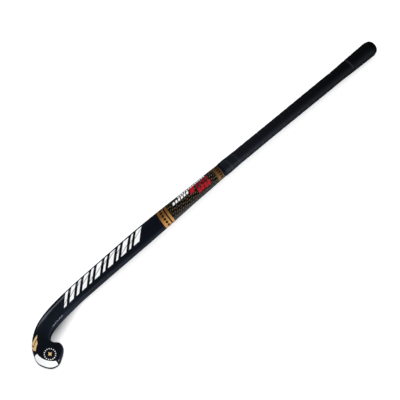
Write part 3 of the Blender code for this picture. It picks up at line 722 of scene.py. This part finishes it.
# gold bands: the upper one with a row of small triangles, the lower pair with a row of diamonds
UPPER_BAND = (415.8, 430.2)
LOWER_BANDS = ((554.0, 559.3), (562.3, 578.0))
BETWEEN_BANDS = 500
BAND_GROUND = (0.012, 0.0045, 0.0015, 1)
SHADED_HEEL_SIDE_GOLDS = ((0.080, 0.034, 0.009, 1), (0.155, 0.064, 0.014, 1))
LIT_TOE_SIDE_GOLDS = ((0.20, 0.100, 0.034, 1), (0.52, 0.265, 0.070, 1))
GOLD_LIGHT_TURNS_AT = -4.6
GOLD_LIGHT_TURNS_OVER = 23
MOTIF_EDGE = 0.3
DIAMOND_ROW = 569.3
DIAMOND_PITCH = 7.0
TRIANGLE_ROW = (417.4, 423.8)
TRIANGLE_PITCH = 5.6
TRIANGLE_SHIFT = 1.0
TRIANGLE_SLOPE = 4.6
TRIANGLE_TALL = 11.4
upper_band = stripe(upper, *UPPER_BAND)
lower_bands = stripe(curved, *LOWER_BANDS[0]) + stripe(curved, *LOWER_BANDS[1])
from_diamond = (girth_mm + DIAMOND_PITCH / 2) % DIAMOND_PITCH - DIAMOND_PITCH / 2
diamonds = 1 - rise(abs(from_diamond) + abs(curved - DIAMOND_ROW), DIAMOND_PITCH / 2, MOTIF_EDGE)
from_triangle = (girth_mm + TRIANGLE_SHIFT) % TRIANGLE_PITCH - TRIANGLE_PITCH / 2
up_triangle = abs(from_triangle) * TRIANGLE_SLOPE + upper - TRIANGLE_ROW[0]
triangles = stripe(upper, *TRIANGLE_ROW) * (1 - rise(up_triangle, TRIANGLE_TALL, MOTIF_EDGE))
gold_mask = upper_band * (1 - triangles) + lower_bands * (1 - diamonds)
lower = rise(run_mm, BETWEEN_BANDS, 1.0)
# painted light: the gold is painted lighter on the toe side and darker on the heel side
toe_side = 1 - rise(across_mm, GOLD_LIGHT_TURNS_AT, GOLD_LIGHT_TURNS_OVER)
gold = blend(toe_side, blend(lower, *SHADED_HEEL_SIDE_GOLDS), blend(lower, *LIT_TOE_SIDE_GOLDS))
colour = blend(upper_band + lower_bands, colour, BAND_GROUND)
colour = blend(gold_mask, colour, gold)

# red and white ticks over the pattern: first run, count, pitch, width, girths from and to, and lean
PRINT_WHITE = (0.88, 0.89, 0.88, 1)
PRINT_RED = (0.37, 0.007, 0.015, 1)
DEEP_RED = (0.19, 0.003, 0.012, 1)
DEEP_RED_TICKS = (448.0, 4, 8.4, 5.8, 0.0, 8.6, 0.45)
RED_TICKS = ((448.5, 4, 8.4, 6.6, -11.0, -1.6, 0.30), (485.5, 1, 11.5, 11.0, -2.2, 10.5, 0.65))
WHITE_TICKS = ((497.0, 6, 7.2, 4.8, 3.2, 8.8, 0.60), (449.0, 13, 5.6, 3.4, 10.4, 14.8, 0.50))
TICK_START = 0.1


def ticks(first, count, pitch, wide, low, high, lean):
    """1 on a row of slanted ticks between two girths, counted along the run from the first one."""
    slanted = run_mm + (girth_mm - low) * lean - first
    row = stripe(slanted, 0.0, pitch * count) * stripe(slanted % pitch, TICK_START, wide)
    return row * stripe(girth_mm, low, high)


colour = blend(ticks(*DEEP_RED_TICKS), colour, DEEP_RED)
colour = blend(ticks(*RED_TICKS[0]) + ticks(*RED_TICKS[1]), colour, PRINT_RED)
white_mask = ticks(*WHITE_TICKS[0]) + ticks(*WHITE_TICKS[1])

# slanted bars down the shaft, from near the heel side to a little past the back's middle, each with
# a thin cut that leans the other way: first run, width, and the girth at which the cut crosses
BAR_LEAN = 1.15
BAR_TOE_END = -7.5
BAR_HEEL_END = 14.8
CUT_LEAN = 0.55
CUT_WIDTH = 1.7
BARS = (
    (629.0, 14.5, 6.5), (651.0, 5.0, 2.5), (664.0, 13.5, -1.0), (685.5, 5.5, 5.0), (699.0, 13.0, 9.0),
    (720.0, 6.0, 5.5), (734.0, 13.0, 1.5), (755.0, 6.5, -2.0), (769.0, 12.0, 5.0), (789.0, 7.0, 8.5),
    (804.0, 11.5, 3.0), (824.0, 7.5, -1.5),
)
leaning = run_mm + girth_mm * BAR_LEAN
bar_length = stripe(girth_mm, BAR_TOE_END, BAR_HEEL_END)
for first, wide, cut in BARS:
    from_cut = girth_mm + (leaning - (first + wide / 2)) * CUT_LEAN - cut
    uncut = rise(abs(from_cut), CUT_WIDTH / 2)
    white_mask = white_mask + stripe(leaning, first, first + wide) * bar_length * uncut

# head: a plain white sweep along the heel's foot
SWEEP_AT = (-434.0, -17.5)
SWEEP_RADIUS = 33.4
SWEEP_SIDE = -11.0
SWEEP_SIDE_AT = -470
SWEEP_SIDE_LEAN = 0.3
SWEEP_END = -449.0
SWEEP_FOOT = 11.5
x_mm = x_m * 1000
y_mm = y_m * 1000
z_mm = z_m * 1000


def apart(along, across):
    """Distance, from its two parts at right angles."""
    return (along * along + across * across).root()


sweep = rise(apart(x_mm - SWEEP_AT[0], y_mm - SWEEP_AT[1]), SWEEP_RADIUS)
sweep_side = y_mm + (x_mm - SWEEP_SIDE_AT) * SWEEP_SIDE_LEAN
sweep = sweep * (1 - rise(sweep_side, SWEEP_SIDE))
sweep = sweep * (1 - rise(x_mm, SWEEP_END)) * rise(z_mm, SWEEP_FOOT, 0.4)
white_mask = white_mask + sweep

# back of the head: a ring of white dots round a small four-pointed star of gold foil
RING_AT = (-449.4, -30.0)
RING_RADIUS = 11.2
RING_DOTS = 16
RING_FOOT = 15.0
DOT_RADIUS = 1.05
STAR_POWER = 0.6
STAR_REACH = 3.0
STAR_EDGE = 0.2
ring_x = x_mm - RING_AT[0]
ring_y = y_mm - RING_AT[1]
dot_turn = 2 * math.pi / RING_DOTS
ring_turn = ring_y.maths("ARCTAN2", ring_y, ring_x) + math.pi
dot_across = (ring_turn % dot_turn - dot_turn / 2) * RING_RADIUS
dot_out = apart(ring_x, ring_y) - RING_RADIUS
on_back = rise(z_mm, RING_FOOT, 1.0)
white_mask = white_mask + (1 - rise(apart(dot_across, dot_out), DOT_RADIUS, MOTIF_EDGE)) * on_back
star_reach = (abs(ring_x) + 0.01) ** STAR_POWER + (abs(ring_y) + 0.01) ** STAR_POWER
star = (1 - rise(star_reach, STAR_REACH, STAR_EDGE)) * on_back
colour = blend(white_mask, colour, PRINT_WHITE)

# heel: gold foil chevrons on a deep red ground
FOIL_GOLD = (0.80, 0.56, 0.26, 1)
FOIL_GROUND = (0.060, 0.004, 0.004, 1)
CHEVRON_MIDDLE = 19.2
CHEVRON_HALF = 10.5
CHEVRON_TOP = 924.5
CHEVRON_LEAN = 0.9
CHEVRON_PITCH = 9.0
CHEVRON_WIDE = (0.2, 6.8)
CHEVRONS_TO = 18.0
chevron_side = abs(girth_mm - CHEVRON_MIDDLE)
chevron_run = run_mm - CHEVRON_TOP + chevron_side * CHEVRON_LEAN
chevron_ground = stripe(chevron_run, 0.0, CHEVRONS_TO) * (1 - rise(chevron_side, CHEVRON_HALF, MOTIF_EDGE))
foil_mask = star + chevron_ground * stripe(chevron_run % CHEVRON_PITCH, *CHEVRON_WIDE)
colour = blend(chevron_ground, colour, FOIL_GROUND)
colour = blend(foil_mask, colour, FOIL_GOLD)
gold_mask = gold_mask + foil_mask

# orange peel of the sprayed lacquer, a trace of the cloth below it, and scuffs on the head
TWILL_PITCH = 0.0024
TWILL_SHARE = 0.02
SCUFFS_FROM = 930
SCUFFS_EDGE = 60
twill = ((x_m + y_m) * (2 * math.pi / TWILL_PITCH)).sine()
relief = noise(spot, 260, 1.0) + twill * TWILL_SHARE
scuff = rise(noise(spot, 70, 4.0), 0.62, 0.08) * rise(run_mm, SCUFFS_FROM, SCUFFS_EDGE)
end_finish(start, {
    "Base Color": colour,
    "Roughness": 0.30 + scuff * 0.15 + gold_mask * 0.08,
    "Metallic": gold_mask * 0.2,
    "Specular IOR Level": 0.1,
    "Coat Weight": 0.8,
    "Coat Roughness": 0.04,
    "Normal": bump(relief, 0.12, 0.00012),
})

shell_quads = np.vstack([outer_quads, inner_quads, rim_quads])
shell_tips = np.vstack([outer_tip, inner_tip])
shell = make_piece(
    "laminate_shell", shell_points, shell_quads, shell_tips, lacquer, "lacquered_laminate", "laminate_skin")
set_map(shell, "run_and_girth", RUN_AND_GIRTH)
set_map(shell, "OFBake", BAKE_MAP)


# Inside the shell lie the plies, the head's foam core, the two shaft tubes with their dampers and
# the butt plug, and under the grip lies the foam collar. They keep their CAD shapes and get cloth and
# foam finishes.
ARAMID_YELLOWS = ((0.60, 0.43, 0.09, 1), (0.48, 0.33, 0.06, 1))
CARBON_GREYS = ((0.020, 0.021, 0.024, 1), (0.036, 0.037, 0.041, 1))
TUBE_GREYS = ((0.028, 0.029, 0.032, 1), (0.044, 0.045, 0.05, 1))
PLY_PITCH = 0.0020
TUBE_PITCH = 0.0026
CORE_CREAMS = ((0.74, 0.63, 0.40, 1), (0.50, 0.40, 0.22, 1))
DAMPER_GREYS = ((0.26, 0.27, 0.28, 1), (0.13, 0.14, 0.15, 1))
PLUG_CREAMS = ((0.78, 0.77, 0.73, 1), (0.60, 0.59, 0.55, 1))
COLLAR_GREYS = ((0.18, 0.18, 0.19, 1), (0.09, 0.09, 0.10, 1))


def dress(finish, *nodes):
    """Gives carried-over CAD nodes their finish."""
    for node in nodes:
        for place_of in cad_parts[node].material_slots:
            place_of.material = finish


def woven_finish(name, warp, weft, pitch, shine):
    """Resin-wet twill: sine waves for the warp and weft bundles, which swap along a diagonal; their two
    tones are a painted sheen.
    """
    made, begin = new_finish(name)
    x, y, z = split(begin.node("TexCoord", {}, {}, "Object"))
    per_metre = 2 * math.pi / pitch
    over = rise(((x + y + z) * (per_metre / 2)).sine(), 0.0, 0.3)
    bundles = over * ((y + z) * per_metre).sine() + (1 - over) * (x * per_metre).sine()
    end_finish(begin, {
        "Base Color": blend(over, weft, warp),
        "Roughness": 0.32 + 0.14 * over,
        "Coat Weight": shine,
        "Normal": bump(bundles, 0.5, pitch / 12),
    })
    return made


def foam_finish(name, light, hollow_shade, cell):
    """Cut closed-cell foam: small round cells, with painted shade darkening their hollows."""
    made, begin = new_finish(name)
    where = begin.node("TexCoord", {}, {}, "Object")
    cells = begin.node("TexVoronoi", {}, {"Vector": where, "Scale": 1 / cell}, "Distance")
    clouds = noise(where, 0.2 / cell)
    end_finish(begin, {
        "Base Color": blend(rise(cells, 0.45, 0.5) * 0.6 + clouds * 0.4, hollow_shade, light),
        "Roughness": 0.82 + 0.1 * clouds,
        "Normal": bump(cells, 0.6, cell / 4),
    })
    return made


aramid = woven_finish("aramid_twill", *ARAMID_YELLOWS, PLY_PITCH, 0.2)
carbon = woven_finish("carbon_twill", *CARBON_GREYS, PLY_PITCH, 0.6)
tube_carbon = woven_finish("carbon_tube_cloth", *TUBE_GREYS, TUBE_PITCH, 0.4)
dress(aramid, "face_ply")
dress(carbon, "heel_edge_ply", "crook_edge_ply", "back_ply")
dress(tube_carbon, "heel_side_tube", "toe_side_tube")
dress(foam_finish("head_core_foam", *CORE_CREAMS, 0.0012), "head_core")
dress(foam_finish("damper_foam", *DAMPER_GREYS, 0.0016), "heel_side_damper", "toe_side_damper")
dress(foam_finish("plug_foam", *PLUG_CREAMS, 0.0010), "butt_plug")
dress(foam_finish("collar_foam", *COLLAR_GREYS, 0.0011), "knob_collar")


# The grip is one long cushioned polyurethane ribbon with skived edges, wound down the handle from
# the butt over the collar. Each turn's upper edge lies on the turn above, which leaves a soft step.
CLEARANCE = 0.0003
GRIP_BOTTOM = 0.553
GRIP_PITCH = 0.0195
GRIP_WIDTH = 0.0235
GRIP_THICKNESS = 0.00075
GRIP_LAP_GAP = 0.0002
GRIP_POINT = 0.0015
LAP_SLOPE = (GRIP_THICKNESS + GRIP_LAP_GAP) / GRIP_PITCH
COLLAR_BOTTOM = SHELL_TOP - 0.0712
COLLAR_LEAD_IN = 0.020
COLLAR_EDGE = 0.0003
COLLAR_THICKNESS = 0.0018
TAPE_TOP = 0.5815
PRESSED_OUTSET = 0.0018
FREE_OUTSET = 0.0032
GRIP_FACETS = 72
EDGE_ROUND_SHARE = 0.022
STEP_SHARE = 0.34
LEVEL_SHARE = 0.86
CROWN = 0.00168
SWELL_LENGTH = 0.0026
TOP_EASE = 0.0016
TOP_DIP = 0.00035
TAPE_STEP = 0.0014
HANDLE_RING = (96, 16, 8)
WIDER_HEIGHTS = (0.5815, 0.600, 0.830, 0.860, 0.885, 0.930, 0.9392)
WIDER_SHARES = (0.0, 0.028, 0.028, 0.004, 0.020, 0.020, 0.010)


def round_handle(height, turn, outset, wider=0.0):
    """World points round the handle, at a height, a share of a turn from the heel side towards the
    back, and an outset from the shell, drawn wider by a share; the turn follows the section's girth."""
    s = section(run_at(height), -outset)
    loop = np.stack(whole_section(s, *HANDLE_RING), axis=-1)
    loop = np.concatenate([loop, loop[:, :1]], axis=1)
    length = np.cumsum(np.linalg.norm(np.diff(loop, axis=1), axis=2), axis=1)
    length = np.hstack([np.zeros((len(loop), 1)), length])
    along = (turn % 1.0) * length[:, -1]
    pick = np.sum(length <= along[:, None], axis=1) - 1
    row_numbers = np.arange(len(loop))
    before = length[row_numbers, pick]
    share = ((along - before) / (length[row_numbers, pick + 1] - before))[:, None]
    at = loop[row_numbers, pick] * (1 - share) + loop[row_numbers, pick + 1] * share
    return place(s, at[:, 0:1] * (1 + np.reshape(wider, (-1, 1))), at[:, 1:2])[:, 0]


def support(height):
    """Outset of the ribbon's lower face from the shell, which grows over the tapered collar."""
    places = (COLLAR_BOTTOM - COLLAR_LEAD_IN, COLLAR_BOTTOM, SHELL_TOP)
    outsets = (CLEARANCE, 2 * CLEARANCE + COLLAR_EDGE, 2 * CLEARANCE + COLLAR_THICKNESS)
    return np.interp(height, places, outsets)


def ribbon_profile():
    """Closed outline of the ribbon's section as (share of the width, 0 on the underside to 1 on the
    upper face): a flat underside, two rounded edges, and an upper face with fine rows at its steps."""
    turn = np.linspace(-np.pi / 2, np.pi / 2, 7)[1:-1]
    flat = np.linspace(EDGE_ROUND_SHARE, 1 - EDGE_ROUND_SHARE, 6)
    top = np.concatenate([
        np.linspace(EDGE_ROUND_SHARE, STEP_SHARE, 14),
        np.linspace(STEP_SHARE, LEVEL_SHARE, 5)[1:-1],
        np.linspace(LEVEL_SHARE, 1 - EDGE_ROUND_SHARE, 7),
    ])
    round_out = EDGE_ROUND_SHARE * (1 - np.cos(turn))
    round_up = 0.5 + 0.5 * np.sin(turn)
    width = np.concatenate([flat, 1 - round_out, top[::-1], round_out])
    return width, np.concatenate([np.zeros(len(flat)), round_up, np.ones(len(top)), round_up[::-1]])


def cushion(from_edge):
    """Thickness of the wound ribbon at a height over its lower edge: pressed thin under the next
    turn, swelling out just above it to a level outer face, and thin again at the upper edge."""
    under_next = GRIP_WIDTH - GRIP_PITCH
    swell = ease((from_edge - under_next) / SWELL_LENGTH)
    level = CROWN - LAP_SLOPE * from_edge
    near_top = ease((GRIP_WIDTH - from_edge) / TOP_EASE)
    return GRIP_THICKNESS + (level - GRIP_THICKNESS) * swell - (1 - near_top) * TOP_DIP


def closed_tube(rings):
    """Points, quads and end triangles of a tube through rings of points, closed on a hub at each end."""
    rows, around, _ = rings.shape
    count = rows * around
    ring = np.arange(around)
    points = np.vstack([rings.reshape(-1, 3), rings[0].mean(axis=0), rings[-1].mean(axis=0)])
    ends = np.vstack([fan(ring, count)[:, ::-1], fan(count - around + ring, count + 1)])
    return points, grid_quads(rows, around), ends


low_edge_start = SHELL_TOP - 2 * GRIP_POINT
last_edge = GRIP_BOTTOM + GRIP_POINT
grip_turns = (low_edge_start - last_edge) / GRIP_PITCH + 1 - 2 * GRIP_POINT / GRIP_PITCH
turn = np.arange(int(np.floor(grip_turns * GRIP_FACETS)) + 1) / GRIP_FACETS
edge = low_edge_start - GRIP_PITCH * turn
low = np.maximum(edge, GRIP_BOTTOM)
high = np.maximum(np.minimum(edge + GRIP_WIDTH, SHELL_TOP), low + GRIP_POINT)
profile_width, profile_thick = ribbon_profile()
ribbon = []
for share, up in zip(profile_width, profile_thick):
    height = low + (high - low) * share
    outset = support(height) + LAP_SLOPE * (height - edge) + cushion(height - edge) * up
    press = np.interp(height, (TAPE_TOP, TAPE_TOP + TAPE_STEP), (PRESSED_OUTSET, FREE_OUTSET))
    outset = np.where(height < TAPE_TOP + TAPE_STEP, np.minimum(outset, press), outset)
    ribbon.append(round_handle(height, turn, outset, np.interp(height, WIDER_HEIGHTS, WIDER_SHARES)))

# fine pebbles, bluish black with painted shade towards the butt, and a painted highlight ring on the knob
GRIP_BLACKS = ((0.0026, 0.0033, 0.0090, 1), (0.0040, 0.0048, 0.0125, 1))
SHADED_BUTT_BLACKS = ((0.0003, 0.0005, 0.0014, 1), (0.0008, 0.0011, 0.0026, 1))
HIGHLIGHT_RING_GREY = (0.022, 0.026, 0.032, 1)
PEBBLE_SCALE = 1100.0
BUTT_SHADE_FROM = 0.24
BUTT_SHADE_OVER = 0.34
HIGHLIGHT_RING = (0.4088, 0.4106)
HIGHLIGHT_RING_SLANT = 0.06
HIGHLIGHT_RING_EDGE = 0.0008
grip_finish, start = new_finish("cushioned_grip")
spot = start.node("TexCoord", {}, {}, "Object")
x_m, y_m, _ = split(spot)
handled = noise(spot, 35, 3.0)
# painted shade: the grip's colour darkens towards the butt, where it is also rougher
towards_butt = rise(x_m, BUTT_SHADE_FROM, BUTT_SHADE_OVER)
# painted highlight: a pale slanted ring on the knob
highlight_ring = stripe(x_m + y_m * HIGHLIGHT_RING_SLANT, *HIGHLIGHT_RING, HIGHLIGHT_RING_EDGE) * rise(handled, 0.42, 0.2)
hue = blend(towards_butt, blend(handled, *GRIP_BLACKS), blend(handled, *SHADED_BUTT_BLACKS))
pebbles = start.node(
    "TexVoronoi", {"feature": "SMOOTH_F1"}, {"Vector": spot, "Scale": PEBBLE_SCALE}, "Distance")
end_finish(start, {
    "Base Color": blend(highlight_ring, hue, HIGHLIGHT_RING_GREY),
    "Roughness": 0.42 + handled * 0.12 + towards_butt * 0.14,
    "Specular IOR Level": 0.45,
    "Normal": bump(pebbles + handled * 0.3, 0.35, 0.00015),
})
ribbon_form = closed_tube(np.stack(ribbon, axis=1))
make_piece("grip_winding", *ribbon_form, grip_finish, "grip_ribbon", "grip_ribbon")


# The finishing tape is thin glossy vinyl wound a few times round the grip's lower end and the bare
# shaft below it. Its last layer ends in a straight cut, a second lap makes its lower half thicker, and
# its lower edge steps down to the shaft.
TAPE_BOTTOM = 0.5430
TAPE_THICKNESS = 0.0004
TAPE_SLOPE = 0.0020
TAPE_LAYERS = 3
TAPE_CUT_AT = 0.36
TAPE_EDGE = 0.0009
TAPE_EDGE_SHARE = 0.55
TAPE_LAP = 0.5615
TAPE_LAP_SHARE = 0.8
TAPE_LAP_EDGE = 0.0006
TAPE_ROWS = 40
TAPE_FACETS = 120
TAPE_ON_SHELL = SWELL + 0.0002
TAPE_ON_GRIP = PRESSED_OUTSET + 0.0001


def tape_profile():
    """Closed outline of the wound tape as (height, outset of the base, share of the thickness)."""
    step = GRIP_BOTTOM - CLEARANCE
    heights = np.array([TAPE_BOTTOM, step - TAPE_SLOPE, step, TAPE_TOP])
    bases = np.array([TAPE_ON_SHELL, TAPE_ON_SHELL, TAPE_ON_GRIP, TAPE_ON_GRIP])
    lap = np.linspace(TAPE_LAP - TAPE_LAP_EDGE, TAPE_LAP, 5)
    fine = np.unique(np.concatenate([heights, lap, np.linspace(TAPE_BOTTOM, TAPE_TOP, TAPE_ROWS)]))
    base = np.interp(fine, heights, bases)
    from_edge = np.minimum(fine - TAPE_BOTTOM, TAPE_TOP - fine)
    share = TAPE_EDGE_SHARE + (1 - TAPE_EDGE_SHARE) * ease(from_edge / TAPE_EDGE)
    share = share + TAPE_LAP_SHARE * ease((TAPE_LAP - fine) / TAPE_LAP_EDGE)
    return np.append(fine, fine[::-1]), np.append(base, base[::-1]), np.append(0 * fine, share[::-1])


tape_height, tape_base, tape_share = tape_profile()
tape = []
for turn_share in np.arange(TAPE_FACETS) / TAPE_FACETS:
    layers = (TAPE_LAYERS - 1 + turn_share) / TAPE_LAYERS
    outset = tape_base + TAPE_THICKNESS * tape_share * layers
    tape.append(round_handle(tape_height, np.full(len(tape_height), turn_share + TAPE_CUT_AT), outset))
tape = np.stack(tape)
tape_rows, tape_around, _ = tape.shape
tape_quads = grid_quads(tape_rows + 1, tape_around) % (tape_rows * tape_around)

# wrinkles along the stick, and painted highlights that make the tape's edges and lap a little paler
TAPE_BLACKS = ((0.0038, 0.0060, 0.0086, 1), (0.0070, 0.0098, 0.0126, 1))
EDGE_HIGHLIGHT_GREY = (0.026, 0.034, 0.041, 1)
EDGE_HIGHLIGHTS = ((0.1041, 0.1053, 0.0008), (0.0848, 0.0863, 0.0010), (0.0666, 0.0678, 0.0006))
EDGE_HIGHLIGHT_SLANT = 0.12
WRINKLE_STRETCH = (1.0, 6.0, 6.0)
tape_finish, start = new_finish("glossy_vinyl_tape")
spot = start.node("TexCoord", {}, {}, "Object")
wrinkles = noise(start.node("Mapping", {}, {"Vector": spot, "Scale": WRINKLE_STRETCH}), 60, 3.0)
x_m, y_m, _ = split(spot)
# painted highlights along the tape's two edges and its lap
edge_highlights = sum(stripe(x_m + y_m * EDGE_HIGHLIGHT_SLANT, *edge_of) for edge_of in EDGE_HIGHLIGHTS)
end_finish(start, {
    "Base Color": blend(edge_highlights * rise(wrinkles, 0.35, 0.3), blend(wrinkles, *TAPE_BLACKS), EDGE_HIGHLIGHT_GREY),
    "Roughness": 0.26 + wrinkles * 0.12,
    "Specular IOR Level": 0.48,
    "Normal": bump(wrinkles, 0.25, 0.0003),
})
no_ends = np.zeros((0, 3), int)
make_piece(
    "tape_winding", tape.reshape(-1, 3), tape_quads, no_ends, tape_finish, "vinyl_tape", "finishing_tape")


# The butt cap is moulded rubber: a low dome with a shallow groove near its rim and a small dimple,
# pushed into the plug by its spigot, with the ribbon's first turn butted against it.
CAP_HEIGHT = 0.0130
CAP_RADIUS = 0.0151
CAP_SQUARENESS = 2.2
SPIGOT_RADIUS = 0.0040
SPIGOT_LENGTH = 0.018
CAP_FACETS = 96
DOME_ROWS = 48
GROOVE_AT = 0.20
GROOVE_WIDTH = 0.035
GROOVE_DEPTH = 0.00035
DIMPLE_RADIUS = 0.0022
DIMPLE_DEPTH = 0.0006
RIM_CHAMFER = 0.0004
SPIGOT_FILLET = 0.0003
SPIGOT_CHAMFER = 0.0006

cap_base = STICK_LENGTH - CAP_HEIGHT
dome_angle = np.linspace(0, np.pi / 2, DOME_ROWS)
dome_radius = CAP_RADIUS * np.cos(dome_angle) ** (2 / CAP_SQUARENESS)
dome_height = CAP_HEIGHT * np.sin(dome_angle) ** (2 / CAP_SQUARENESS)
groove = np.exp(-((dome_angle / (np.pi / 2) - GROOVE_AT) / GROOVE_WIDTH) ** 2)
dome_radius = dome_radius - GROOVE_DEPTH * groove
dome_height = dome_height - DIMPLE_DEPTH * np.exp(-((dome_radius / DIMPLE_RADIUS) ** 2))
cap_radius = np.append(dome_radius[-2:0:-1], [
    CAP_RADIUS, CAP_RADIUS - RIM_CHAMFER, SPIGOT_RADIUS + SPIGOT_FILLET,
    SPIGOT_RADIUS, SPIGOT_RADIUS, SPIGOT_RADIUS - SPIGOT_CHAMFER,
])
cap_height = np.append(dome_height[-2:0:-1], [
    RIM_CHAMFER, 0.0, 0.0, -RIM_CHAMFER, -SPIGOT_LENGTH + SPIGOT_CHAMFER, -SPIGOT_LENGTH,
])
spoke = 2 * np.pi * np.arange(CAP_FACETS) / CAP_FACETS
cap_rings = np.stack([
    np.repeat((cap_base - CENTRE_HEIGHT + cap_height)[:, None], CAP_FACETS, axis=1),
    -CENTRE_SIDE + cap_radius[:, None] * np.cos(spoke),
    bow_lift(cap_base) + HANDLE_THICKNESS / 2 + cap_radius[:, None] * np.sin(spoke),
], axis=-1)
cap_points, cap_quads, cap_ends = closed_tube(cap_rings)

RUBBER_BLACKS = ((0.0006, 0.0007, 0.0012, 1), (0.0016, 0.0018, 0.0026, 1))
rubber, start = new_finish("moulded_rubber")
spot = start.node("TexCoord", {}, {}, "Object")
smear = noise(spot, 60)
end_finish(start, {
    "Base Color": blend(smear, *RUBBER_BLACKS),
    "Roughness": 0.46 + smear * 0.16,
    "Specular IOR Level": 0.2,
    "Normal": bump(noise(spot, 900, 3.0), 0.2, 0.00008),
})
make_piece(
    "cap_moulding", cap_points, cap_quads[:, ::-1], cap_ends[:, ::-1], rubber, "cap_rubber", "butt_cap")
